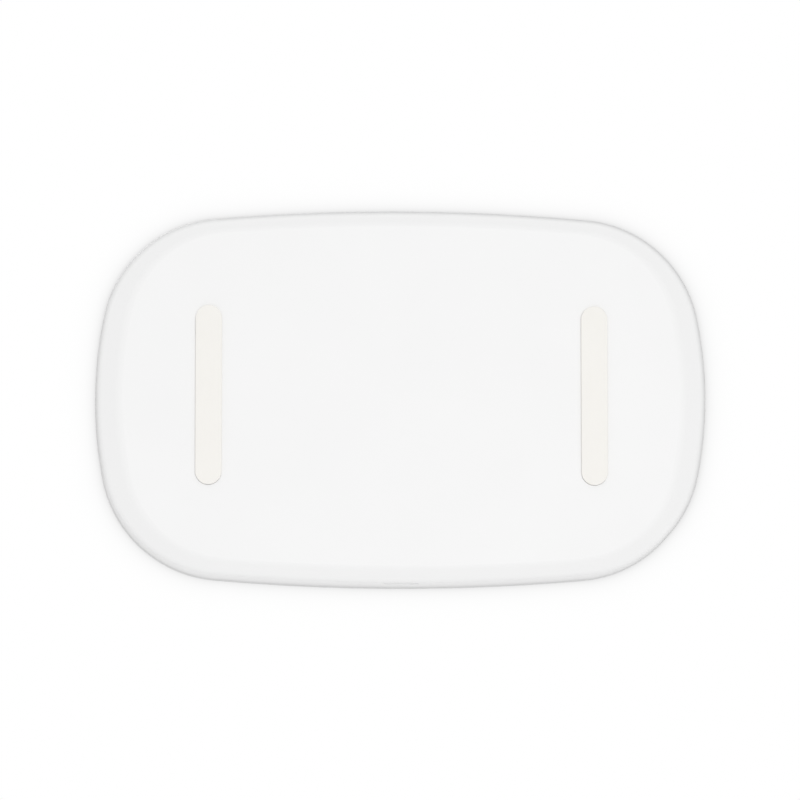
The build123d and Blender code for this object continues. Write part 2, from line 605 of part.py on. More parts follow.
def base_uv_board():
    half = BASE_LAMP_X + LAMP_BOARD_MARGIN
    board = block(-half, half, -LAMP_BOARD_HALF_Y, LAMP_BOARD_HALF_Y, LAMP_BOARD_TOP_Z - BOARD, LAMP_BOARD_TOP_Z)
    return board - [rod(SMALL_SCREW + SCREW_PLAY, x, y, LAMP_BOARD_TOP_Z - BOARD, LAMP_BOARD_TOP_Z)
                    for x, y in LAMP_POSTS]


def small_screws(places, board_z, up, bite):
    """Board screws: up is 1 where the shank points up. board_z is the board's outer face."""
    return [screw(x, y, board_z - up * SMALL_HEAD, board_z, board_z + up * (BOARD + bite),
                  SMALL_HEAD_RADIUS, SMALL_SCREW) for x, y in places]


# ================================================================ base: main board and inlet
def main_board():
    board = block(-MAIN_HALF_X, MAIN_HALF_X, *MAIN_Y, MAIN_UNDER_Z, MAIN_TOP_Z)
    return board - [rod(SMALL_SCREW + SCREW_PLAY, x, y, MAIN_UNDER_Z, MAIN_TOP_Z) for x, y in MAIN_POSTS]


def usb_socket():
    """Metal shell with a tongue inside, open to the rear."""
    back = SOCKET_MOUTH_Y - SOCKET_LENGTH
    shell = oval(SOCKET_WIDTH, SOCKET_HEIGHT, back, SOCKET_MOUTH_Y)
    inside = 2 * SOCKET_SHELL
    shell -= oval(SOCKET_WIDTH - inside, SOCKET_HEIGHT - inside, back + SOCKET_LENGTH - TONGUE_LENGTH - inside,
                  SOCKET_MOUTH_Y)
    tongue = block(-TONGUE_WIDTH / 2, TONGUE_WIDTH / 2, SOCKET_MOUTH_Y - TONGUE_LENGTH - inside - SOCKET_SHELL,
                   SOCKET_MOUTH_Y - inside, SOCKET_Z - TONGUE / 2, SOCKET_Z + TONGUE / 2)
    return shell + tongue


# ================================================================ front button
def power_button():
    """Round cap with a flange behind the light ring."""
    cap = behind(-BUTTON_PROUD, BUTTON_FLANGE_AT, 0, BUTTON_Z, BUTTON_RADIUS)
    cap = fillet(cap.faces().sort_by(Axis.Y)[0].edges(), BUTTON_ROUND)
    return cap + behind(BUTTON_FLANGE_AT, BUTTON_FLANGE_AT + BUTTON_FLANGE, 0, BUTTON_Z,
                        BUTTON_RADIUS + BUTTON_FLANGE_WIDTH)


def light_ring():
    """Clear ring round the button, with a flange behind the wall and two legs to the status lamps."""
    back = RING_FLANGE_AT + RING_FLANGE
    tube = behind(-WALL, back, 0, BUTTON_Z, RING_RADIUS)
    tube &= base_form()
    flange = behind(RING_FLANGE_AT, back, 0, BUTTON_Z, RING_RADIUS + RING_LEG)
    lamp_face = BUTTON_BOARD_Y - FRONT_Y - STATUS_LAMP_HEIGHT - FACE_GAP
    legs = [behind(RING_FLANGE_AT, lamp_face, s * LEG_X, BUTTON_Z, RING_LEG) for s in LEFT_RIGHT]
    return tube + flange - behind(-WALL, back, 0, BUTTON_Z, BUTTON_RADIUS + BUTTON_ROOM) + legs


def switch_body():
    half = SWITCH / 2
    body = block(-half, half, BUTTON_BOARD_Y - SWITCH_DEPTH, BUTTON_BOARD_Y, BUTTON_Z - half, BUTTON_Z + half)
    depth = SWITCH_AT + SWITCH_STEM_IN + BUTTON_TRAVEL + FACE_GAP
    return body - behind(SWITCH_AT - FACE_GAP, depth, 0, BUTTON_Z, SWITCH_STEM + SWITCH_STEM_ROOM)


def switch_plunger():
    return behind(STEM_AT, SWITCH_AT + SWITCH_STEM_IN, 0, BUTTON_Z, SWITCH_STEM)


def button_board():
    return block(-BUTTON_BOARD_HALF_X, BUTTON_BOARD_HALF_X, BUTTON_BOARD_Y, BUTTON_BOARD_Y + BOARD,
                 *BUTTON_BOARD_Z)


def on_button_board(x, z, width, height, depth):
    """Box soldered to the front of the button board."""
    return block(x - width / 2, x + width / 2, BUTTON_BOARD_Y - depth, BUTTON_BOARD_Y, z - height / 2, z + height / 2)


def status_lamps():
    return [on_button_board(s * LEG_X, BUTTON_Z, STATUS_LAMP, STATUS_LAMP, STATUS_LAMP_HEIGHT) for s in LEFT_RIGHT]


# ================================================================ lid
LID_LAMPS = [(s * x, 0) for s in LEFT_RIGHT for x in LID_LAMP_X]
LID_BOARD_Z = LINER_TOP_Z + LAMP_HEIGHT + FACE_GAP
LID_LAMP_POSTS = [(s * sum(LID_LAMP_X) / 2, t * LAMP_POST_Y) for s, t in CORNERS]
CHARGER_POSTS = [(s * (CHARGER_HALF_X - SMALL_POST), y) for s in LEFT_RIGHT
                 for y in (CHARGER_Y[0] + SMALL_POST, CHARGER_Y[1] - SMALL_POST)]
COIL_TOP_Z = CEILING_Z - FACE_GAP
FERRITE_TOP_Z = COIL_TOP_Z - COIL
CUP_TOP_Z = LINER_RIM_Z + LID_SCREW_CUP
LID_SEAT_Z = CUP_TOP_Z - SHEET
LID_HEAD_Z = LID_SEAT_Z - SCREW_HEAD


def lid_shell():
    height = LID_TOP_Z - LID_RIM_Z
    turned = Pos(0, 0, LID_TOP_Z) * Rot(180, 0, 0)
    form = rounded(turned * case_form(height), RIM_ROUND)
    hollow = turned * case_form(height, WALL) + slab(WALL, LID_RIM_Z - WALL, LID_RIM_Z)
    beam, cuts = hinge_half(form, LID_SPANS, BASE_SPANS + [SLEEVE_SPAN], LID_RIM_Z, LID_RIM_Z + LID_BEAM,
                            1, 1)
    shell = form - hollow - groove(1) + beam
    for x, y in lid_screw_places():
        boss = rod(SCREW_RADIUS + BOSS_WALL, x, y, CUP_TOP_Z, LID_TOP_Z)
        shell += boss & form
        cuts.append(rod(SCREW_RADIUS + SCREW_PLAY, x, y, CUP_TOP_Z, CUP_TOP_Z + SCREW_BITE + PILOT_END))
    cuts += [barrel(PIN_RADIUS + PIN_RUN, x0, x1) for x0, x1 in LID_SPANS]
    cuts.append(pad_ring(FACE_GAP, LID_TOP_Z - PAD_GROOVE, LID_TOP_Z + PAD_PROUD))
    return shell - cuts


def pad_ring(grow, z0, z1):
    return rod(PAD_OUTER + grow, 0, 0, z0, z1) - rod(PAD_INNER - grow, 0, 0, z0, z1)


def charging_pad():
    """Silicone ring that keeps a phone from sliding off the charging place."""
    ring = pad_ring(0, LID_TOP_Z - PAD_GROOVE, LID_TOP_Z + PAD_PROUD)
    return rounded(ring, PAD_ROUND, 1)


def lid_liner():
    over = LINER_RIM_Z + SHEET
    liner = slab(FLANGE_INSET, LINER_RIM_Z, over)
    liner += rounded(slab(CHAMBER_INSET - SHEET, LINER_RIM_Z, LINER_TOP_Z), CHAMBER_ROUND + SHEET, 1)
    liner -= rounded(slab(CHAMBER_INSET, LINER_RIM_Z, LINER_CEILING_Z), CHAMBER_ROUND, 1)
    liner -= mouth_bevel(LINER_RIM_Z, 1)
    liner -= hinge_room(PARTING_Z, over + SHEET)
    for x, y in lid_screw_places():
        liner += rod(SCREW_HEAD_RADIUS + SCREW_PASS + MAGNET_CUP, x, y, LINER_RIM_Z, CUP_TOP_Z)
    posts = LID_LAMP_POSTS + CHARGER_POSTS
    liner += [rod(SMALL_POST, x, y, LINER_TOP_Z - FACE_GAP, LID_BOARD_Z) for x, y in posts]
    liner += [rod(SMALL_POST, x, y, LINER_TOP_Z - FACE_GAP, FERRITE_TOP_Z - FERRITE) for x, y in ferrite_posts()]
    liner += [magnet_cup(x, y, over, 1) for x, y in magnet_places() + [SENSOR_PLACE]]
    cuts = window_cuts(LID_LAMPS, LINER_CEILING_Z, LINER_TOP_Z)
    for x, y in lid_screw_places():
        cuts.append(rod(SCREW_HEAD_RADIUS + SCREW_PASS, x, y, LINER_RIM_Z, LID_SEAT_Z))
        cuts.append(rod(SCREW_RADIUS + SCREW_PASS, x, y, LINER_RIM_Z, CUP_TOP_Z))
    cuts += [rod(SMALL_SCREW + SCREW_PLAY, x, y, LINER_TOP_Z - PILOT_END, LID_BOARD_Z) for x, y in posts]
    return liner - cuts


def ferrite_posts():
    return [(FERRITE_POST_AT * cos(radians(a)), FERRITE_POST_AT * sin(radians(a))) for a in (90, 210, 330)]


def reach_of(places, margin):
    """Lowest and highest X of some places, with a margin."""
    xs = [x for x, _ in places]
    return min(xs) - margin, max(xs) + margin


def lid_uv_board(side):
    """Board with two lamps facing down into the chamber, screwed to the liner's back."""
    x0, x1 = reach_of([place for place in LID_LAMPS if place[0] * side > 0], LAMP_BOARD_MARGIN)
    board = block(x0, x1, -LAMP_BOARD_HALF_Y, LAMP_BOARD_HALF_Y, LID_BOARD_Z, LID_BOARD_Z + BOARD)
    return board - [rod(SMALL_SCREW + SCREW_PLAY, x, y, LID_BOARD_Z, LID_BOARD_Z + BOARD)
                    for x, y in LID_LAMP_POSTS]


def charger_board():
    board = block(-CHARGER_HALF_X, CHARGER_HALF_X, *CHARGER_Y, LID_BOARD_Z, LID_BOARD_Z + BOARD)
    return board - [rod(SMALL_SCREW + SCREW_PLAY, x, y, LID_BOARD_Z, LID_BOARD_Z + BOARD)
                    for x, y in CHARGER_POSTS]


def windows(places, z0):
    return [rod(WINDOW_RADIUS, x, y, z0, z0 + WINDOW) for x, y in places]


def charging_coil():
    """Flat ring of wound copper wire, as one solid with a shallow step at each layer's edge."""
    z0, z1 = COIL_TOP_Z - COIL, COIL_TOP_Z
    return rod(COIL_OUTER, 0, 0, z0, z1) - rod(COIL_INNER, 0, 0, z0, z1)


def ferrite_disc():
    return rod(FERRITE_RADIUS, 0, 0, FERRITE_TOP_Z - FERRITE, FERRITE_TOP_Z)


def lid_screws():
    tip = CUP_TOP_Z + SCREW_BITE
    return [screw(x, y, LID_HEAD_Z, LID_SEAT_Z, tip, SCREW_HEAD_RADIUS, SCREW_RADIUS)
            for x, y in lid_screw_places()]


def lid_bumpers():
    """Soft plugs over the lid screws, which meet the tray's flange when the lid is down."""
    radius = SCREW_HEAD_RADIUS + SCREW_PASS - BUMPER_ROOM
    return [rounded(rod(radius, x, y, TRAY_TOP_Z + BUMPER_GAP, LID_HEAD_Z - FACE_GAP), PAD_ROUND)
            for x, y in lid_screw_places()]


def magnets(places, z0):
    return [rod(MAGNET_RADIUS, x, y, z0, z0 + MAGNET) for x, y in places]


# ================================================================ small electronics and wires
def plug(x, y, z, turned=False):
    """Wire plug on a board whose face is at z, its row of wires along X, or along Y where turned."""
    long, wide, high = PLUG
    dx, dy = (wide / 2, long / 2) if turned else (long / 2, wide / 2)
    return block(x - dx, x + dx, y - dy, y + dy, z, z + high)


CHARGER_TOP_Z = LID_BOARD_Z + BOARD
PLUG_MID = PLUG[2] / 2
BUTTON_PLUG = (6.0, MAIN_Y[0] + PLUG[1])
LAMP_PLUG = (-8.0, MAIN_Y[0] + PLUG[1])
CABLE_PLUG = (-18.0, MAIN_Y[1] - PLUG[1] / 2)
LID_PLUG = (CABLE_X, CHARGER_Y[1] - PLUG[1] / 2)


def wire_plugs():
    return [plug(*place, MAIN_TOP_Z) for place in (BUTTON_PLUG, LAMP_PLUG, CABLE_PLUG)]


def lid_plug():
    return plug(*LID_PLUG, CHARGER_TOP_Z)


def button_plug():
    """Plug on the button board's front face, its wires leaving downwards."""
    long, wide, high = PLUG
    return on_button_board(BUTTON_PLUG[0], BUTTON_BOARD_Z[0] + wide / 2, long, wide, high)


def fanned(count):
    """Offsets of count wires side by side."""
    return [(n - (count - 1) / 2) * WIRE_PITCH for n in range(count)]


def button_wires():
    """Four wires from the main board, forward under the tray and up to the button board."""
    leave_z, low_z = MAIN_TOP_Z + PLUG_MID, FLOOR_Z + UNDER_WIRES_Z
    leave_y, dive_y = BUTTON_PLUG[1] - PLUG[1] / 2, LAMP_BOARD_HALF_Y + 2 * WIRE_PITCH
    front_y = BUTTON_BOARD_Y - PLUG_MID
    mid_y = (leave_y + dive_y) / 2 + WIRE_PITCH
    route = [(leave_y, leave_z), (mid_y, leave_z), (dive_y - WIRE_PITCH, low_z), (front_y, low_z),
             (front_y, BUTTON_BOARD_Z[0])]
    return [wire([(BUTTON_PLUG[0] + dx, y, z) for y, z in route], WIRE_RADIUS) for dx in fanned(4)]


def base_uv_wires():
    """Two wires from the main board to the underside of the lamp board."""
    leave_z, under_z = MAIN_TOP_Z + PLUG_MID, LAMP_BOARD_TOP_Z - BOARD
    low_z = under_z - 2 * WIRE_PITCH
    leave_y, end_y = LAMP_PLUG[1] - PLUG[1] / 2, LAMP_BOARD_HALF_Y - 2 * WIRE_PITCH
    route = [(leave_y, leave_z), (leave_y - 2 * WIRE_PITCH, leave_z), (LAMP_BOARD_HALF_Y + WIRE_PITCH, low_z),
             (end_y, low_z), (end_y, under_z)]
    return [wire([(LAMP_PLUG[0] + dx, y, z) for y, z in route], WIRE_RADIUS) for dx in fanned(2)]


def base_cable():
    """Lid cable's half in the base: from the main board up behind the tray, through the beam to the axis."""
    x, y = CABLE_PLUG
    beam_z, clear_y = BASE_RIM_Z - BASE_BEAM, BEAM_Y + CABLE_SLOT
    points = [(x, y, MAIN_TOP_Z + PLUG[2]), (x, y, MAIN_TOP_Z + PLUG[1]), (x, clear_y, MAIN_TOP_Z + 2 * PLUG[1]),
              (-CABLE_X, clear_y + CABLE_RADIUS, beam_z - 2 * PLUG_MID),
              (-CABLE_X, (clear_y + AXIS_Y) / 2, (beam_z + PARTING_Z) / 2 - PLUG_MID),
              (-CABLE_X, AXIS_Y, PARTING_Z), (-CABLE_JOIN, AXIS_Y, PARTING_Z)]
    return wire(points, CABLE_RADIUS)


def lid_cable():
    """Lid cable's half in the lid: off the axis, up behind the liner and forward to the charger board."""
    plug_y, plug_z = LID_PLUG[1] + PLUG[1] / 2, CHARGER_TOP_Z + PLUG_MID
    clear_y, top_z = BEAM_Y + CABLE_SLOT, LID_RIM_Z + LID_BEAM
    points = [(CABLE_JOIN, AXIS_Y, PARTING_Z), (CABLE_X, AXIS_Y, PARTING_Z),
              (CABLE_X, clear_y + CABLE_SLOT, top_z), (CABLE_X, clear_y, (top_z + plug_z) / 2),
              (CABLE_X, (clear_y + plug_y) / 2 + CABLE_RADIUS, plug_z), (CABLE_X, plug_y, plug_z)]
    return wire(points, CABLE_RADIUS)


def coil_leads():
    """Two leads from the coil's edge down on to the charger board."""
    z0, z1 = COIL_TOP_Z - COIL / 2, CHARGER_TOP_Z + LEAD_RADIUS
    y0 = COIL_OUTER + FACE_GAP
    y1 = CHARGER_Y[0]
    points = [(y0, z0), (y1 - LEAD_X / 2, z0), (y1 + LEAD_X, z1)]
    return [wire([(s * LEAD_X, y, z) for y, z in points], LEAD_RADIUS) for s in LEFT_RIGHT]


def lid_uv_wires():
    """Two wires on each side, from the charger board to the lid's lamp boards."""
    z = CHARGER_TOP_Z + WIRE_RADIUS
    x0, y0 = CHARGER_HALF_X - 2 * PLUG[1], CHARGER_Y[0] + WIRE_PITCH
    x1, y1 = LID_LAMP_X[0] - WIRE_PITCH, LAMP_BOARD_HALF_Y - WIRE_PITCH
    bend = ((x0 + x1) / 2 + WIRE_PITCH, (y0 + y1) / 2 + WIRE_PITCH)
    return [wire([(s * (x + d), y + d, z) for x, y in ((x0, y0), bend, (x1, y1))], WIRE_RADIUS)
            for s in LEFT_RIGHT for d in fanned(2)]


def square_part(x, y, z, side, height):
    return block(x - side / 2, x + side / 2, y - side / 2, y + side / 2, z, z + height)


def board_parts():
    """Controller, inductor and capacitors on the main board."""
    inductor_x = MAIN_HALF_X / 2
    middle_y = sum(MAIN_Y) / 2
    chip = square_part(0, middle_y, MAIN_TOP_Z, CHIP, CHIP_HEIGHT)
    inductor = square_part(inductor_x, middle_y, MAIN_TOP_Z, COIL_BOX, COIL_BOX_HEIGHT)
    cans = [rod(CAN_RADIUS, -inductor_x + s * 1.5 * CAN_RADIUS, middle_y, MAIN_TOP_Z, MAIN_TOP_Z + CAN_HEIGHT)
            for s in LEFT_RIGHT]
    return [chip], [inductor], cans


def save(name, shape):
    """Write one named piece, or a group of alike pieces, to its own file."""
    solids = shape if isinstance(shape, list) else shape.solids()
    shape = solids[0] if len(solids) == 1 else Compound(list(solids))
    export_step(shape, f"parts/{name}.step")


os.makedirs("parts", exist_ok=True)

# base
save("bottom_shell", bottom_shell())
save("foot_left", foot(-1))
save("foot_right", foot(1))
save("base_screws", base_screws())
save("inner_tray", inner_tray())
save("floor_reflector", reflector(BASE_LAMPS, REST_PEGS, TRAY_FLOOR_Z, TRAY_FLOOR_Z + REFLECTOR))
save("phone_rest_left", phone_rest(-1))
save("phone_rest_right", phone_rest(1))
save("base_uv_board", base_uv_board())
save("base_uv_lamps", lamps(BASE_LAMPS, LAMP_BOARD_TOP_Z))
save("base_uv_windows", windows(BASE_LAMPS, TRAY_FLOOR_Z - WINDOW))
save("base_uv_screws", small_screws(LAMP_POSTS, LAMP_BOARD_TOP_Z - BOARD, 1, LAMP_HEIGHT))
save("main_board", main_board())
save("main_board_screws", small_screws(MAIN_POSTS, MAIN_TOP_Z, -1, SMALL_POST))
chips, inductors, cans = board_parts()
save("controller_chip", chips)
save("power_inductor", inductors)
save("board_capacitors", cans)
save("wire_plugs", wire_plugs())
save("usb_socket", usb_socket())
save("button_board", button_board())
save("button_plug", button_plug())
save("switch_body", switch_body())
save("status_lamps", status_lamps())
save("light_ring", light_ring())
save("hall_sensor", on_button_board(SENSOR_X, BUTTON_BOARD_Z[1] - LAMP / 2, LAMP, LAMP, LAMP_HEIGHT))
save("button_wires", button_wires())
save("base_uv_wires", base_uv_wires())
save("base_cable", base_cable())
save("base_magnets", magnets(magnet_places(), TRAY_TOP_Z - SHEET - MAGNET))
save("hinge_pin_left", hinge_pin(-1))
save("hinge_pin_right", hinge_pin(1))

# front button
save("power_button", power_button())
save("switch_plunger", switch_plunger())

# lid
save("lid_shell", lid_shell())
save("lid_liner", lid_liner())
save("ceiling_reflector", reflector(LID_LAMPS, [], LINER_CEILING_Z - REFLECTOR, LINER_CEILING_Z))
save("lid_uv_board_left", lid_uv_board(-1))
save("lid_uv_board_right", lid_uv_board(1))
save("lid_uv_lamps", lamps(LID_LAMPS, LID_BOARD_Z - LAMP_HEIGHT))
save("lid_uv_windows", windows(LID_LAMPS, LINER_CEILING_Z))
save("lid_board_screws", small_screws(LID_LAMP_POSTS + CHARGER_POSTS, CHARGER_TOP_Z, -1, LAMP_HEIGHT))
save("charging_coil", charging_coil())
save("ferrite_disc", ferrite_disc())
save("charger_board", charger_board())
save("charger_chips", [square_part(s * (CHARGER_HALF_X + CHIP) / 2, sum(CHARGER_Y) / 2, CHARGER_TOP_Z, CHIP, CHIP_HEIGHT)
                       for s in LEFT_RIGHT])
save("lid_plug", lid_plug())
save("coil_leads", coil_leads())
save("lid_uv_wires", lid_uv_wires())
save("lid_cable", lid_cable())
save("lid_screws", lid_screws())
save("lid_bumpers", lid_bumpers())
save("lid_magnets", magnets(magnet_places(), LINER_RIM_Z + SHEET))
save("sensor_magnet", magnets([SENSOR_PLACE], LINER_RIM_Z + SHEET))
save("charging_pad", charging_pad())
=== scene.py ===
# %% [markdown]
# # A box that cleans a phone with ultraviolet light
# The solids come first. Loading them gives every case half, lamp and screw as a finished mesh at its real
# place, in metres, so this lesson only has to dress them: finishes, fine detail, light and a camera.

# %% Load the solids
import math
import bpy
from mathutils import Matrix, Vector
from mathutils.geometry import convex_hull_2d


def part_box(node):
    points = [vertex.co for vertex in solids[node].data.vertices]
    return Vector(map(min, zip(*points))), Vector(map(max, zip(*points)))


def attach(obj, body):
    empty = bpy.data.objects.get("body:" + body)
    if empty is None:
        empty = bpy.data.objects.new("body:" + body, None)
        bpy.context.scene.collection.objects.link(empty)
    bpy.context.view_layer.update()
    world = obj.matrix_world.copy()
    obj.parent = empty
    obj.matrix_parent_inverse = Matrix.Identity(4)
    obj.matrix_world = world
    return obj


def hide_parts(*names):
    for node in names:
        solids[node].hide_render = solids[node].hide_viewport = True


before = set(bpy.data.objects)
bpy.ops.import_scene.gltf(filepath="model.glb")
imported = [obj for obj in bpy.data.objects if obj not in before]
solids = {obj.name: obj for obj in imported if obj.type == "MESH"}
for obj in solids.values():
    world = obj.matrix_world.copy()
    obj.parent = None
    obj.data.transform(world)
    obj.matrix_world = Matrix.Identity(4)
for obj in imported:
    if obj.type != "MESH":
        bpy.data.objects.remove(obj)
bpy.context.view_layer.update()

MM = 0.001

# %% [markdown]
# ## Colours and nodes
# A colour picked on a screen is stored with a curve, and Blender wants it without, so one function turns the
# usual hex code to linear numbers. One more function adds a node: its settings are plain names, and its
# inputs are either numbers or the output of another node, which is then linked.


# %% Two helpers for materials
def colour(hex_code):
    """Linear red, green, blue and a full alpha from a hex code such as '#F4F4F2'."""
    shares = [int(hex_code[n:n + 2], 16) / 255 for n in (1, 3, 5)]
    return *[s / 12.92 if s <= 0.04045 else ((s + 0.055) / 1.055) ** 2.4 for s in shares], 1.0


def add(tree, kind, inputs=None, **settings):
    """A new node with its settings, its inputs set to values or linked to outputs."""
    node = tree.nodes.new(kind)
    for name, value in settings.items():
        setattr(node, name, value)
    for name, value in (inputs or {}).items():
        if isinstance(value, bpy.types.NodeSocket):
            tree.links.new(value, node.inputs[name])
        else:
            node.inputs[name].default_value = value
    return node


WHITE = colour("#FFFFFF")
print("white is", [round(share, 3) for share in WHITE[:3]])

# %% [markdown]
# ## The camera
# The box is seen from below, as if it lay on its lid with its feet up. A long lens a long way off keeps the
# sides nearly parallel. The camera hangs a little behind and to the left of straight below, so the feet,
# which are nearer to it than the rim of the case, seem to slip a little forward and to the right.

# %% Camera
HALF_ANGLE = math.radians(5)
FRAME_HALF = 145.2 * MM          # half of what the picture spans at the parting line
PARTING = 31 * MM                # height of the joint between base and lid
LEAN_LEFT, LEAN_BACK = math.radians(2.1), math.radians(5.0)
AIM = Vector((0.50 * MM, -0.95 * MM, PARTING))
SENSOR = 36                      # width of the camera's sensor, in millimetres
NEAREST, FARTHEST = 0.05, 20     # metres from the lens where drawing starts and ends

lens = bpy.data.cameras.new("camera")
camera = bpy.data.objects.new("camera", lens)
bpy.context.scene.collection.objects.link(camera)
lens.sensor_width = SENSOR
lens.lens = SENSOR / 2 / math.tan(HALF_ANGLE)
lens.clip_start, lens.clip_end = NEAREST, FARTHEST
away = Vector((-math.tan(LEAN_LEFT), math.tan(LEAN_BACK), -1)).normalized()
camera.location = AIM + away * FRAME_HALF / math.tan(HALF_ANGLE)
right = Vector((0, -1, 0)).cross(away).normalized()
camera.rotation_mode = "QUATERNION"
camera.rotation_quaternion = Matrix((right, away.cross(right), away)).transposed().to_quaternion()
bpy.context.scene.camera = camera
print("a", round(lens.lens), "mm lens,", round(camera.location.length, 2), "m away")

# %% [markdown]
# ## The light
# White plastic on white paper is lit from nearly everywhere at once, as in a tent of white cloth. The room
# gives most of the light, a little less than white, brighter in front and behind than at the ends. Three
# soft lamps add the small differences that show the form. The camera sees the room plain white, and so do
# polished metal and quartz, so that they stay as bright as what stands around them.

# %% Strength of the room's light by direction
bpy.context.scene.view_settings.view_transform = "Standard"
UNDER, SIDES, OVER = 0.845, 0.70, 0.59   # light from below, from the sides and from above: 1 is white
LOWEST, HIGHEST = -0.9, 0.7              # heights in a room of radius 1 where it is all of UNDER or OVER
FRONT_BACK = 0.26                        # what the front and the back have more than the ends
STARTS, FULL = 0.5, 0.8                  # how far to the front or back that starts, and is all there

room = bpy.data.worlds.new("room")
bpy.context.scene.world = room
room.use_nodes = True
tree = room.node_tree
tree.nodes.clear()
direction = add(tree, "ShaderNodeTexCoord")
parts = add(tree, "ShaderNodeSeparateXYZ", {0: direction.outputs["Generated"]})
below = add(tree, "ShaderNodeMapRange", {
    "Value": parts.outputs["Z"], "From Min": LOWEST, "From Max": 0.0, "To Min": UNDER, "To Max": SIDES})
above = add(tree, "ShaderNodeMapRange", {
    "Value": parts.outputs["Z"], "From Min": 0.0, "From Max": HIGHEST, "To Min": 0.0, "To Max": OVER - SIDES})
by_height = add(tree, "ShaderNodeMath", {0: below.outputs[0], 1: above.outputs[0]}, operation="ADD")
depth = add(tree, "ShaderNodeMath", {0: parts.outputs["Y"]}, operation="ABSOLUTE")
extra = add(tree, "ShaderNodeMapRange", {
    "Value": depth.outputs[0], "From Min": STARTS, "From Max": FULL, "To Min": 0.0, "To Max": FRONT_BACK})
light = add(tree, "ShaderNodeMath", {0: by_height.outputs[0], 1: extra.outputs[0]}, operation="ADD")
print("room light", UNDER, "below,", SIDES, "at the sides,", OVER, "above")

# %% Plain white for the camera, for polished metal and for clear pieces
path = add(tree, "ShaderNodeLightPath")
seen = add(tree, "ShaderNodeMath", {
    0: path.outputs["Is Camera Ray"], 1: path.outputs["Is Glossy Ray"]}, operation="ADD")
seen = add(tree, "ShaderNodeMath", {
    0: seen.outputs[0], 1: path.outputs["Is Transmission Ray"]}, operation="ADD", use_clamp=True)
shown = add(tree, "ShaderNodeMix", {"Factor": seen.outputs[0], "A": light.outputs[0], "B": 1.0})
glow = add(tree, "ShaderNodeBackground", {"Color": WHITE, "Strength": shown.outputs[0]})
add(tree, "ShaderNodeOutputWorld", {"Surface": glow.outputs[0]})
print(len(tree.nodes), "nodes light the room")


# %% Lamps
def soft_lamp(name, place, width, watts):
    """A round soft lamp, turned towards the box. Its place and its width are in metres."""
    data = bpy.data.lights.new(name, "AREA")
    data.shape, data.size, data.energy = "DISK", width, watts
    lamp = bpy.data.objects.new(name, data)
    lamp.location = place
    lamp.rotation_mode = "QUATERNION"
    lamp.rotation_quaternion = (-Vector(place)).to_track_quat("-Z", "Y")
    lamp.visible_camera = False
    bpy.context.scene.collection.objects.link(lamp)


soft_lamp("lamp_below", (0.12, 0.05, -1.2), width=0.7, watts=2.2)
soft_lamp("lamp_front_left", (-0.6, -0.7, 1.1), width=1.2, watts=4.8)
soft_lamp("lamp_right", (0.9, -0.1, 1.0), width=0.9, watts=1.0)
print(len(bpy.data.lights), "lamps")

# %% [markdown]
# ## The floor
# The floor is a pale sheet that only shows from above, because its back is clear, and it fades to white far
# off, as paper on a long table does. Only the camera sees it, so it takes the shadow of the box and leaves
# the light alone.


# %% Sheets for the camera alone
def stage_sheet(name, corners, faces):
    """A mesh that only the camera sees, with an empty material: the mesh and the material's tree."""
    mesh = bpy.data.meshes.new(name)
    mesh.from_pydata(corners, [], faces)
    sheet = bpy.data.objects.new(name, mesh)
    bpy.context.scene.collection.objects.link(sheet)
    for kind in ("diffuse", "glossy", "transmission", "volume_scatter", "shadow"):
        setattr(sheet, "visible_" + kind, False)
    material = bpy.data.materials.new(name)
    material.use_nodes = True
    material.node_tree.nodes.clear()
    mesh.materials.append(material)
    return mesh, material.node_tree


# %% Floor
FLOOR_HALF = 3.0                 # metres from the middle to the floor's sides
NEAR, FAR = 0.3, 2.2             # metres from the middle where it starts to fade, and is white
PAPER, LIFT = "#EFEFEF", 0.06    # its colour, and a faint glow that lightens its shadows

corners = [(FLOOR_HALF * x, FLOOR_HALF * y, 0) for x, y in ((-1, -1), (1, -1), (1, 1), (-1, 1))]
_, tree = stage_sheet("floor", corners, [(0, 1, 2, 3)])
paint = add(tree, "ShaderNodeBsdfDiffuse", {"Color": colour(PAPER)})
lift = add(tree, "ShaderNodeEmission", {"Color": WHITE, "Strength": LIFT})
sheet = add(tree, "ShaderNodeAddShader", {0: paint.outputs[0], 1: lift.outputs[0]})
place = add(tree, "ShaderNodeTexCoord")
reach = add(tree, "ShaderNodeVectorMath", {0: place.outputs["Object"]}, operation="LENGTH")
fade = add(tree, "ShaderNodeMapRange", {
    "Value": reach.outputs["Value"], "From Min": NEAR, "From Max": FAR}, interpolation_type="SMOOTHSTEP")
white = add(tree, "ShaderNodeEmission", {"Color": WHITE, "Strength": 1.0})
front = add(tree, "ShaderNodeMixShader", {
    0: fade.outputs["Result"], 1: sheet.outputs[0], 2: white.outputs[0]})
side = add(tree, "ShaderNodeNewGeometry")
back = add(tree, "ShaderNodeBsdfTransparent")
both = add(tree, "ShaderNodeMixShader", {
    0: side.outputs["Backfacing"], 1: front.outputs[0], 2: back.outputs[0]})
add(tree, "ShaderNodeOutputMaterial", {"Surface": both.outputs[0]})
print("floor", 2 * FLOOR_HALF, "m wide, white from", FAR, "m on")

# %% [markdown]
# ## The painted shadow round the box
# A clear film round the foot of the case is painted a little grey next to it, as a painted shadow. From
# below, that is the thin shade round an object that lies on white paper, and from above, half as strong, it
# is the dark line where the object meets the floor. A wide painted shade and a narrow one add up, each dies
# away as an exponential does, and every corner of the film stores how dark it is painted. The painted shade
# starts where the camera sees the outline of the case, which at the back is the joint with the lid and not
# the shoulder.


# %% How dark the painted shadow is
SHADES = [(0.13, 2.5 * MM), (0.135, 0.6 * MM)]   # how dark the painted shade is at the case, and over what distance it fades
COVER = 2.0                      # millimetres over which the painted shade ends under the edge of the case
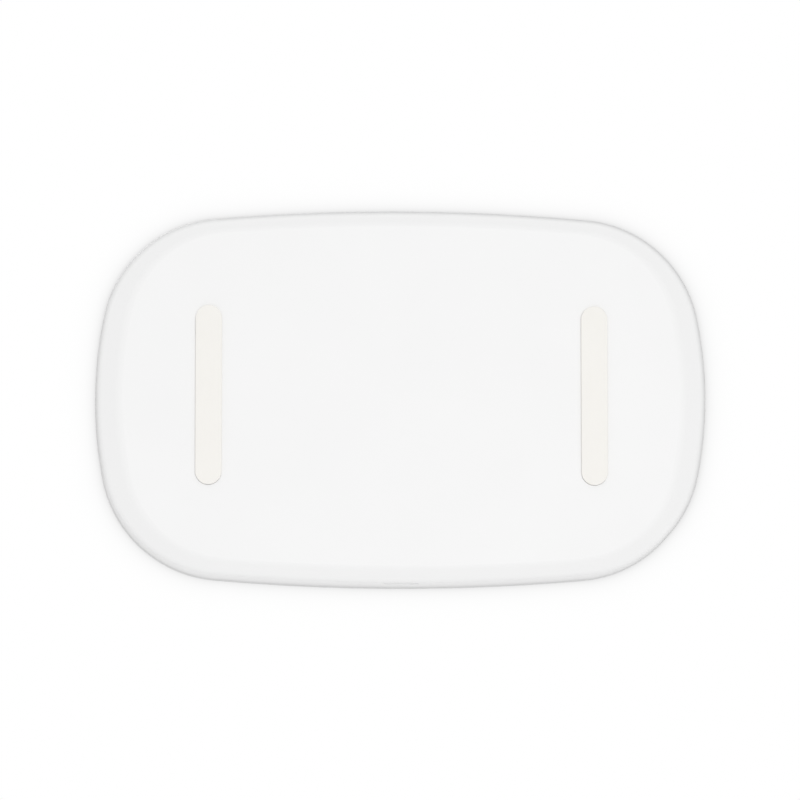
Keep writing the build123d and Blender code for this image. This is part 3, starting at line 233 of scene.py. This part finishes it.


def painted_shade(reach):
    """How dark the painted shadow is at a distance out from the case, or in over its edge, in millimetres."""
    edge = sum(depth * math.exp(-max(0.0, reach) * MM / fade) for depth, fade in SHADES)
    return edge if reach >= 0 else edge * (1 + reach / COVER) ** 3


print("grey at the case", round(painted_shade(0), 3), "and 3 mm out", round(painted_shade(3), 3))

# %% Rim of the case
WALL_FOOT = 7 * MM               # height where the wall ends and the shoulder starts

low_points = [point.co.xy for point in solids["bottom_shell"].data.vertices if point.co.z < WALL_FOOT]
rim = [low_points[n] for n in convex_hull_2d(low_points)]
count = len(rim)
print("rim of", count, "points")

# %% Where the camera sees the outline
DRAFT = math.tan(math.radians(2))   # how far the wall leans out, as a share of its height
FILM_HEIGHT = 3.5 * MM
TUCKED = 0.12                    # the part of the way in that the film takes, where the outline lies inside


def outline(n):
    """The way out at one point of the rim, and how far out of it the outline is on the film."""
    along = (rim[(n + 1) % count] - rim[n - 1]).normalized()
    outward = Vector((along.y, -along.x))
    sight = camera.location - Vector((*rim[n], PARTING))
    lean = sight.xy.dot(outward) / -sight.z
    wall = (PARTING - WALL_FOOT) * DRAFT + (PARTING - FILM_HEIGHT) * lean
    return outward, max(wall, wall * TUCKED)


outlines = [outline(n) for n in range(count)]
print("outline up to", round(max(out for _, out in outlines) / MM, 1), "mm outside the rim")

# %% Film of painted shadow
AWAY = (-2.0, -1.5, -1, -0.6, -0.3, 0, 0.2, 0.4, 0.6, 0.9, 1.3, 2, 3, 4, 5, 6, 8, 10, 12, 15)
FILM_IN = 0.2 * MM               # AWAY is in millimetres, from this much inside the outline
FROM_ABOVE = 0.5                 # share of the painted shade that shows from above

corners = [(*(rim[n] + outward * (out + reach * MM - FILM_IN)), FILM_HEIGHT)
           for reach in AWAY for n, (outward, out) in enumerate(outlines)]
faces = [(first + n, first + count + n, first + count + (n + 1) % count, first + (n + 1) % count)[::-1]
         for first in range(0, count * (len(AWAY) - 1), count) for n in range(count)]
shadow_film, tree = stage_sheet("shadow_film", corners, faces)
# the attribute grey holds the painted shade at each corner of the film
grey = shadow_film.attributes.new("grey", "FLOAT", "POINT")
grey.data.foreach_set("value", [painted_shade(reach) for reach in AWAY for _ in rim])
stored = add(tree, "ShaderNodeAttribute", attribute_name="grey")
side = add(tree, "ShaderNodeNewGeometry")
share = add(tree, "ShaderNodeMath", {
    0: side.outputs["Backfacing"], 1: FROM_ABOVE - 1, 2: 1.0}, operation="MULTIPLY_ADD")
part = add(tree, "ShaderNodeMath", {0: share.outputs[0], 1: stored.outputs["Fac"]}, operation="MULTIPLY")
shade = add(tree, "ShaderNodeMath", {0: 1.0, 1: part.outputs[0]}, operation="SUBTRACT")
# the film passes what lies behind it, darkened by the painted shade
tint = add(tree, "ShaderNodeBsdfTransparent", {"Color": shade.outputs[0]})
add(tree, "ShaderNodeOutputMaterial", {"Surface": tint.outputs[0]})
print("film of", len(faces), "faces round the case")

# %% [markdown]
# ## How a finish is built
# A moulded or rolled surface is never perfectly even. Three things give it away: the colour drifts by a
# percent or two over a few centimetres, the gloss drifts with it, and a fine texture from the mould or the
# rollers breaks up the highlight. Every finish here mixes those three from noise, with each size given in
# millimetres on the part.


# %% One function for the three signs of a made surface
DRIFT_WAVES = {"Detail": 3, "Roughness": 0.55}   # how many finer waves a noise has, and how strong they are
GRAIN_WAVES = {"Detail": 4, "Roughness": 0.6}
NOISE_LOW, NOISE_HIGH = 0.25, 0.75       # nearly all that a noise gives lies between these
SMOOTHEST = 0.02                         # no made surface is smoother than this


def surface(name, hex_code, drift_hex, roughness, grain_mm, grain_depth, drift_mm=35, stretch=(1, 1, 1),
            roughness_drift=0.06, shader=None):
    """A material: its colour and where it drifts to, roughness, and the size and depth of its fine grain."""
    material = bpy.data.materials.new(name)
    material.use_nodes = True
    tree = material.node_tree
    tree.nodes.clear()
    place = add(tree, "ShaderNodeTexCoord")
    drawn = add(tree, "ShaderNodeMapping", {"Vector": place.outputs["Object"], "Scale": stretch})
    drift = add(tree, "ShaderNodeTexNoise", {
        "Vector": place.outputs["Object"], "Scale": 1 / (drift_mm * MM), **DRIFT_WAVES})
    grain = add(tree, "ShaderNodeTexNoise", {
        "Vector": drawn.outputs[0], "Scale": 1 / (grain_mm * MM), **GRAIN_WAVES})
    tint = add(tree, "ShaderNodeMix", {
        "Factor": drift.outputs["Fac"], 6: colour(hex_code), 7: colour(drift_hex)}, data_type="RGBA")
    gloss = add(tree, "ShaderNodeMapRange", {
        "Value": drift.outputs["Fac"], "From Min": NOISE_LOW, "From Max": NOISE_HIGH,
        "To Min": max(SMOOTHEST, roughness - roughness_drift), "To Max": roughness + roughness_drift})
    bump = add(tree, "ShaderNodeBump", {
        "Height": grain.outputs["Fac"], "Distance": grain_depth * MM, "Strength": 1.0})
    body = add(tree, "ShaderNodeBsdfPrincipled", {
        "Base Color": tint.outputs[2], "Roughness": gloss.outputs[0], "Normal": bump.outputs[0],
        **(shader or {})})
    add(tree, "ShaderNodeOutputMaterial", {"Surface": body.outputs[0]})
    return material


finishes = {}                    # by the name of the slot that each one fills
print("noise between", NOISE_LOW, "and", NOISE_HIGH)

# %% [markdown]
# ## Case: moulded ABS
# The white case is ABS from a mould that was blasted with fine grit. That leaves dimples a few thousandths
# of a millimetre deep, which the eye reads as satin instead of gloss. Real ones are about a fifth of a
# millimetre apart, and they are drawn half a millimetre apart so that they show.

# %% Case finish
finishes["case_plastic"] = surface(
    "moulded ABS", "#F3F3F3", "#F1F1F1", roughness=0.44,
    grain_mm=0.5, grain_depth=0.004, roughness_drift=0.02,
    shader={"IOR": 1.54})
print("case: satin ABS, grain 0.5 mm")

# %% [markdown]
# ## Tray and liner: polished ABS
# The inside is moulded against a polished steel core, so that it wipes clean. Its only fault is the slow
# ripple called orange peel, a few millimetres from crest to crest.

# %% Tray finish
finishes["tray_plastic"] = surface(
    "polished ABS", "#F1F2F3", "#ECEEF0", roughness=0.17,
    grain_mm=5, grain_depth=0.012, roughness_drift=0.04,
    shader={"IOR": 1.54})
print("tray: gloss ABS, ripple 5 mm")

# %% [markdown]
# ## Feet, bumpers and charging ring: silicone
# Silicone is matt and a little warm beside the ABS, and it picks up fine dust. Its noise is finer than the
# case's, and it has a little sheen where it is seen along the surface.

# %% Silicone finish
finishes["foot_silicone"] = surface(
    "moulded silicone", "#F4F2EE", "#F2F0EB", roughness=0.55,
    grain_mm=0.3, grain_depth=0.006, drift_mm=18,
    shader={"IOR": 1.41, "Sheen Weight": 0.12, "Sheen Roughness": 0.4})
print("silicone: matt, warm white")

# %% [markdown]
# ## Reflectors: rolled aluminium
# Aluminium throws back the lamps' ultraviolet light, which paint would swallow. Rolling draws its grain out
# along the sheet, so the noise is stretched fifty times along X, and the metal is bright but not a mirror.

# %% Sheet finish
ROLLED = (0.02, 1, 1)            # grain drawn out along X
BARE_METAL = {"Metallic": 1.0}
finishes["mirror_sheet"] = surface(
    "rolled aluminium", "#DEE0E2", "#D6D9DC", roughness=0.24,
    grain_mm=0.3, grain_depth=0.0015, stretch=ROLLED, roughness_drift=0.05,
    shader=BARE_METAL)
print("reflectors: rolled aluminium")

# %% [markdown]
# ## Clear parts
# Acrylic rests let the light reach the phone's back. Their moulded skin is a little frosted. Fused quartz
# covers the lamps because it passes ultraviolet light and most other glass doesn't. Both bend light,
# acrylic more. The button's ring is acrylic with a milky filler that spreads the light of two small lamps.

# %% Clear and milky finishes
finishes["clear_plastic"] = surface(
    "clear acrylic", "#FAFCFD", "#F6FAFC", roughness=0.16,
    grain_mm=8, grain_depth=0.004, roughness_drift=0.03,
    shader={"IOR": 1.49, "Transmission Weight": 0.6})
finishes["quartz"] = surface(
    "fused quartz", "#FBFDFF", "#F6FAFF", roughness=0.03,
    grain_mm=10, grain_depth=0.002, roughness_drift=0.01,
    shader={"IOR": 1.458, "Transmission Weight": 0.97})
finishes["frosted_plastic"] = surface(
    "milky acrylic", "#EEF3F6", "#E6EDF2", roughness=0.42,
    grain_mm=0.4, grain_depth=0.004,
    shader={"IOR": 1.49, "Transmission Weight": 0.35, "Subsurface Weight": 0.2})
print("acrylic 1.49, quartz 1.458")

# %% [markdown]
# ## Metals
# Screws are steel with a bright zinc skin, magnets are plated with nickel that has a warm tint, and the
# coil's copper shines through a clear lacquer. The zinc's tiny crystals and the copper's draw marks are
# drawn a few tenths of a millimetre wide, coarser than they are, so that they show.

# %% Metal finishes
finishes["steel"] = surface(
    "zinc plated steel", "#C6C9CD", "#B9BDC3", roughness=0.28,
    grain_mm=0.4, grain_depth=0.003, drift_mm=4,
    shader=BARE_METAL)
finishes["nickel"] = surface(
    "plated nickel", "#D2CDC3", "#C8C3B8", roughness=0.14,
    grain_mm=1.5, grain_depth=0.002, drift_mm=5,
    shader=BARE_METAL)
finishes["copper"] = surface(
    "lacquered copper", "#C9764A", "#B8633A", roughness=0.30,
    grain_mm=0.2, grain_depth=0.003, drift_mm=6,
    shader={"Metallic": 1.0, "Coat Weight": 0.7, "Coat Roughness": 0.12})
print("steel, nickel and lacquered copper")

# %% [markdown]
# ## Ceramics and the small plastics
# Sintered ferrite looks like fine dark grit, and a lamp's fired alumina is chalky. The chips are in matt
# epoxy, the wires in soft silicone, and the plugs in nylon, which is a little yellow when nothing is mixed
# into it. The grits of the alumina and the epoxy are also drawn coarser than they are.

# %% Small finishes
finishes["ferrite"] = surface(
    "sintered ferrite", "#2B2B2F", "#1F1F23", roughness=0.72,
    grain_mm=0.2, grain_depth=0.012, drift_mm=8,
    shader={"IOR": 2.0})
finishes["lamp_ceramic"] = surface(
    "fired alumina", "#EDEBE4", "#E4E1D8", roughness=0.50,
    grain_mm=0.12, grain_depth=0.003, drift_mm=3,
    shader={"IOR": 1.76})
finishes["black_plastic"] = surface(
    "moulded epoxy", "#1B1B1D", "#232326", roughness=0.48,
    grain_mm=0.15, grain_depth=0.006, drift_mm=6,
    shader={"IOR": 1.55})
finishes["wire_sleeve"] = surface(
    "extruded silicone", "#E8E8E6", "#DFDFDC", roughness=0.46,
    grain_mm=0.5, grain_depth=0.003, drift_mm=12,
    shader={"IOR": 1.41})
finishes["plug_plastic"] = surface(
    "natural nylon", "#E2DDCB", "#D8D2BD", roughness=0.36,
    grain_mm=0.6, grain_depth=0.003, drift_mm=5,
    shader={"IOR": 1.53})
print(len(finishes), "finishes so far")

# %% [markdown]
# ## Circuit boards: solder resist over copper
# The resist follows the copper tracks under it, so a track shows as a line a quarter of a millimetre wide,
# raised by a few hundredths and slightly darker. A brick pattern's joints make such a web of tracks with
# right angles.

# %% Board finish
TRACK, RAISED = 0.25 * MM, 0.03 * MM     # a track's width and height
BLOCK, ROW = 4.2 * MM, 1.3 * MM          # length and height of the blocks between tracks
SHIFT = 0.35                             # of each row against the last one, as a share of a block

board = surface(
    "solder resist", "#EDEEEB", "#E7E9E5", roughness=0.30,
    grain_mm=0.8, grain_depth=0.004, drift_mm=10,
    shader={"IOR": 1.5, "Coat Weight": 0.25, "Coat Roughness": 0.1})
tree = board.node_tree
body = next(node for node in tree.nodes if node.type == "BSDF_PRINCIPLED")
place = next(node for node in tree.nodes if node.type == "TEX_COORD")
resist = body.inputs["Base Color"].links[0].from_socket
skin = body.inputs["Normal"].links[0].from_socket
tracks = add(tree, "ShaderNodeTexBrick", {
    "Vector": place.outputs["Object"], "Scale": 1.0, "Mortar Size": TRACK / 2, "Mortar Smooth": 0.1,
    "Brick Width": BLOCK, "Row Height": ROW, "Color1": WHITE, "Color2": WHITE, "Mortar": colour("#D6DAD2")},
    offset=SHIFT)
tinted = add(tree, "ShaderNodeMix", {
    "Factor": 1.0, 6: resist, 7: tracks.outputs["Color"]}, data_type="RGBA", blend_type="MULTIPLY")
tree.links.new(tinted.outputs[2], body.inputs["Base Color"])
relief = add(tree, "ShaderNodeBump", {"Height": tracks.outputs["Fac"], "Distance": RAISED, "Normal": skin})
tree.links.new(relief.outputs[0], body.inputs["Normal"])
finishes["circuit_board"] = board
print("tracks", round(TRACK / MM, 2), "mm wide")

# %% [markdown]
# ## Dressing the solids
# Each solid comes with a plain stand-in material that is named after its slot. One loop swaps every stand-in
# for the finish of that name, so a whole set of screws or boards is dressed at once.

# %% Dress the solids
for name, solid in solids.items():
    for held in solid.material_slots:
        held.material = finishes[held.material.name.split(".")[0]]
print(len(solids), "solids dressed")

# %% [markdown]
# ## The feet
# Each foot is a strip of soft silicone, laid in a pocket by hand and pressed against its front and right
# walls. So a hairline stays open at its back and on its left. Its lower edge is round. A strip with round
# ends is one outline drawn again and again, each time further in or further down, and joined by rings of
# quads.


# %% A mesh that rides, and quads between rings
def mesh_object(name, corners, faces, body, slot, finish=None, smooth=True):
    """A mesh that rides on a body, with the finish of its slot or one of its own."""
    mesh = bpy.data.meshes.new(name)
    mesh.from_pydata(corners, [], faces)
    mesh.materials.append(finish or finishes[slot])
    mesh.polygons.foreach_set("use_smooth", [smooth] * len(mesh.polygons))
    piece = bpy.data.objects.new(name, mesh)
    bpy.context.scene.collection.objects.link(piece)
    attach(piece, body)
    return piece


def rings(number, count):
    """Quads that join a number of rings, each to the next one, where every ring has count corners."""
    return [(first + n, first + (n + 1) % count, first + count + (n + 1) % count, first + count + n)
            for first in range(0, count * (number - 1), count) for n in range(count)]


# %% Feet
ROOM = 0.1 * MM                  # gap between the plain solid and its pocket
FOOT_EDGE = 0.35 * MM            # radius of the lower edge
EDGE_STEPS, TURN = 6, 24         # steps round that edge, and round each half circle of the outline
FOOT_POINTS = 2 * TURN + 2

for side in ("left", "right"):
    low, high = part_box("foot_" + side)
    low, high = low - Vector((ROOM / 2, ROOM, 0)), high + Vector((ROOM, 0, 0))
    middle, half_width, half_length = (low + high) / 2, (high.x - low.x) / 2, (high.y - low.y) / 2
    edge = [math.radians(90 / EDGE_STEPS * n) for n in range(EDGE_STEPS + 1)]
    levels = [(0, high.z)]
    levels += [(FOOT_EDGE * (1 - math.cos(a)), low.z + FOOT_EDGE * (1 - math.sin(a))) for a in edge]
    corners = []
    for inset, z in levels:
        radius = half_width - inset
        for n in range(FOOT_POINTS):
            end = 1 if n <= TURN else -1
            angle = math.pi * (n - (n > TURN)) / TURN
            y = middle.y + end * (half_length - half_width) + radius * math.sin(angle)
            corners.append((middle.x + radius * math.cos(angle), y, z))
    faces = [face[::-1] for face in rings(len(levels), FOOT_POINTS)]
    faces += [tuple(range(FOOT_POINTS)), tuple(range(len(corners) - 1, len(corners) - FOOT_POINTS - 1, -1))]
    foot = mesh_object("silicone_foot_" + side, corners, faces, "base", "foot_silicone")
    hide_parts("foot_" + side)
print("feet", round(2 * half_length / MM, 1), "by", round(2 * half_width / MM, 1), "mm")

# %% [markdown]
# ## Turned pieces
# The charging ring on the lid is round, so it is a section turned about an axis. Three fine ribs round its
# top keep a phone from sliding off. The section is listed as radius and height, and points on the same
# height round the ring are joined to quads.


# %% Turning a section
def turned(section, steps):
    """Corners and faces of a closed section of (radius, height) turned about the upright axis Z."""
    corners, faces, count = [], [], len(section)
    for step in range(steps):
        angle = 2 * math.pi * step / steps
        corners += [(r * math.cos(angle), r * math.sin(angle), z) for r, z in section]
    for step in range(steps):
        first, second = step * count, (step + 1) % steps * count
        faces += [(first + n, second + n, second + (n + 1) % count, first + (n + 1) % count)
                  for n in range(count)]
    return corners, faces


# %% Charging ring
RING_WIDTH, EDGE = 6 * MM, 0.35 * MM     # the ring's width, and the slope at its edges
RIBS, PITCH = 3, 1.5 * MM                # how many ribs, and how far apart
RIB, GROOVE = 0.7 * MM, 0.22 * MM        # half width of a rib with its two grooves, and their depth
SUNK, BANK = 0.06 * MM, 0.04 * MM        # how far the flat edges and the grooves' banks lie under a rib's top
ACROSS = [(-1, BANK), (-0.6, GROOVE), (-0.4, GROOVE), (-0.2, 0), (0.2, 0), (0.4, GROOVE), (0.6, GROOVE),
          (1, BANK)]                     # across one rib: place as a share of RIB, and depth
RING_STEPS = 240

low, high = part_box("charging_pad")
ring_outer, ring_inner = high.x, high.x - RING_WIDTH
middle = (ring_outer + ring_inner) / 2
section = [(ring_inner, low.z), (ring_inner, high.z - EDGE), (ring_inner + EDGE, high.z - SUNK)]
for rib in range(RIBS):
    at = middle + (rib - 1) * PITCH
    section += [(at + RIB * share, high.z - depth) for share, depth in ACROSS]
section += [(ring_outer - EDGE, high.z - SUNK), (ring_outer, high.z - EDGE), (ring_outer, low.z)]
corners, faces = turned(section[::-1], RING_STEPS)
ring = mesh_object("ribbed_charging_ring", corners, faces, "lid", "foot_silicone", smooth=False)
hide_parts("charging_pad")
print("ring", round(2 * ring_outer / MM, 1), "mm across,", len(ring.data.polygons), "faces")

# %% [markdown]
# ## The charging coil
# A flat coil is one wire wound outwards. Its middle line is a spiral whose radius grows by one wire for
# each turn, and a round bevel gives it thickness.

# %% Coil
HOLE = 10 * MM                   # radius that the turns leave free
STEPS = 64                       # points for each turn
PACKED, BARE = 0.97, 0.98        # what a turn adds and what is copper, as shares of the solid's thickness
ROUND_STEPS = 3                  # how finely the bevel is rounded

low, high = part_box("charging_coil")
coil_outer, wire_radius = high.x, (high.z - low.z) / 2
turns = int((coil_outer - HOLE) / (2 * wire_radius))
coil_curve = bpy.data.curves.new("wound_coil", "CURVE")
coil_curve.dimensions = "3D"
coil_curve.bevel_depth, coil_curve.bevel_resolution = wire_radius * BARE, ROUND_STEPS
line = coil_curve.splines.new("POLY")
line.points.add(turns * STEPS)
for n, point in enumerate(line.points):
    angle = 2 * math.pi * n / STEPS
    radius = coil_outer - wire_radius - 2 * wire_radius * (turns - n / STEPS) * PACKED
    point.co = (radius * math.cos(angle), radius * math.sin(angle), (low.z + high.z) / 2, 1)
coil_curve.materials.append(finishes["copper"])
coil = bpy.data.objects.new("wound_coil", coil_curve)
bpy.context.scene.collection.objects.link(coil)
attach(coil, "lid")
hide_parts("charging_coil")
print(turns, "turns of", round(2 * wire_radius / MM, 1), "mm wire")

# %% [markdown]
# ## The ultraviolet lamps
# Each lamp is a square ceramic package with a round cavity. The cavity's floor is plated with soft yellow
# gold, and the crystal chip that makes the light stands in the middle as a small dark glossy square. A stack
# of outlines makes all of it: square ones for the body and the chip, round ones for the cavity. Every
# outline has the same number of points, so that quads can join them.

# %% Outlines of a lamp
gold = surface(
    "plated gold", "#E3B96A", "#D9AE5E", roughness=0.24,
    grain_mm=0.15, grain_depth=0.002, drift_mm=2,
    shader=BARE_METAL)
chip = surface(
    "lamp chip", "#4A4458", "#3C3850", roughness=0.18,
    grain_mm=0.1, grain_depth=0.002, drift_mm=1,
    shader={"IOR": 2.4})
BODY, CAVITY, CHIP = 1.75 * MM, 1.3 * MM, 0.55 * MM   # half widths, and the cavity's radius
BACK, DEEP, CHIP_TOP = 1.2 * MM, 0.7 * MM, 0.4 * MM   # depths: back, cavity's floor, chip's top
BEVEL, INNER = 0.08 * MM, 0.96   # depth where the body's bevel starts, and the share of it left at the face
TAPER = 0.9                      # share left of the cavity at its floor, and of the chip at its top
CERAMIC, GOLD, CRYSTAL = 0, 1, 2         # the order of the finishes on a lamp
LEVELS = [                       # shape, half width or radius, depth, and finish up to the next outline
    ("square", BODY, BACK, CERAMIC),
    ("square", BODY, BEVEL, CERAMIC),
    ("square", INNER * BODY, 0.0, CERAMIC),
    ("round", CAVITY, 0.0, CERAMIC),
    ("round", TAPER * CAVITY, DEEP, GOLD),
    ("square", CHIP, DEEP, CRYSTAL),
    ("square", TAPER * CHIP, CHIP_TOP, CRYSTAL)]
print("a lamp is", round(2 * BODY / MM, 1), "mm wide and", len(LEVELS), "outlines")


# %% One lamp
POINTS = 32                      # in each outline


def lamp_package(name, centre, face_z, towards, body):
    """One lamp on a body. Its face is at face_z and looks up where towards is 1, or down where it is -1."""
    corners, bands = [], []
    for shape, size, depth, _ in LEVELS:
        for n in range(POINTS):
            angle = 2 * math.pi * (n + 0.5) / POINTS
            across, along = math.cos(angle), math.sin(angle)
            reach = size / max(abs(across), abs(along)) if shape == "square" else size
            corners.append((centre[0] + reach * across, centre[1] + reach * along, face_z - towards * depth))
    faces = rings(len(LEVELS), POINTS)
    for _, _, _, finish in LEVELS[:-1]:
        bands += [finish] * POINTS
    faces += [tuple(range(len(corners) - POINTS, len(corners))), tuple(range(POINTS - 1, -1, -1))]
    bands += [CRYSTAL, CERAMIC]
    if towards < 0:
        faces = [face[::-1] for face in faces]
    lamp = mesh_object(name, corners, faces, body, "lamp_ceramic", smooth=False)
    lamp.data.materials.append(gold)
    lamp.data.materials.append(chip)
    lamp.data.polygons.foreach_set("material_index", bands)
    return lamp


# %% All six lamps
BASE_LAMP_X, LID_LAMP_X = (-42, 42), (-60, -40, 40, 60)   # millimetres from the middle
LAMP_ROWS = [("base_uv_lamps", BASE_LAMP_X, 1, "base"), ("lid_uv_lamps", LID_LAMP_X, -1, "lid")]
for node, places, towards, body in LAMP_ROWS:
    low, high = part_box(node)
    face = high.z if towards > 0 else low.z
    for number, x in enumerate(places, 1):
        package = lamp_package(f"{node}_{number}", (x * MM, (low.y + high.y) / 2), face, towards, body)
        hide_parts(node)
print(len(BASE_LAMP_X) + len(LID_LAMP_X), "lamps")

# %% [markdown]
# ## The mark on the button
# The button has the usual sign for on and off, an open ring with a bar, printed in thick grey ink. A ribbon
# with square edges follows a path of points. The ring's path is an arc, and the bar's path has only two
# points.


# %% Ribbon along a path
def ribbon(path, half, front, back):
    """Corners and faces of a flat ribbon along (x, z) points, between two y planes."""
    corners, faces = [], []
    for n, point in enumerate(path):
        along = (path[min(n + 1, len(path) - 1)] - path[max(n - 1, 0)]).normalized() * half
        for side, y in ((1, front), (-1, front), (-1, back), (1, back)):
            corners.append((point.x + side * along.y, y, point.y - side * along.x))
    for n in range(0, len(corners) - 4, 4):
        faces += [(n + k, n + (k + 1) % 4, n + 4 + (k + 1) % 4, n + 4 + k) for k in range(4)]
    return corners, faces + [(3, 2, 1, 0), tuple(range(len(corners) - 4, len(corners)))]


# %% Power mark
INK, ROOT = 0.02 * MM, 0.1 * MM          # the ink stands this far out of the button, and reaches this far in
MARK_RADIUS, MARK_HALF = 2.5 * MM, 0.22 * MM   # radius of the ring's middle line, and half a line's width
OPEN_HALF = math.radians(32)             # half of the ring's opening
BAR_LOW, BAR_HIGH = 0.6 * MM, 3.0 * MM   # where the bar starts and ends above the ring's middle
ARC_STEPS = 48

low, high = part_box("power_button")
middle = Vector(((low.x + high.x) / 2, (low.z + high.z) / 2))
ink = surface(
    "grey ink", "#8C9196", "#81868B", roughness=0.5,
    grain_mm=0.1, grain_depth=0.002, drift_mm=2,
    shader={"IOR": 1.5})
sweep = 2 * math.pi - 2 * OPEN_HALF
angles = [OPEN_HALF + sweep * n / ARC_STEPS for n in range(ARC_STEPS + 1)]
arc = [middle + MARK_RADIUS * Vector((math.sin(angle), math.cos(angle))) for angle in angles]
bar = [middle + Vector((0, BAR_LOW)), middle + Vector((0, BAR_HIGH))]
for name, path in (("power_mark_ring", arc), ("power_mark_bar", bar)):
    corners, faces = ribbon(path, MARK_HALF, low.y - INK, low.y + ROOT)
    mesh_object(name, corners, faces, "button", "case_plastic", ink, smooth=False)
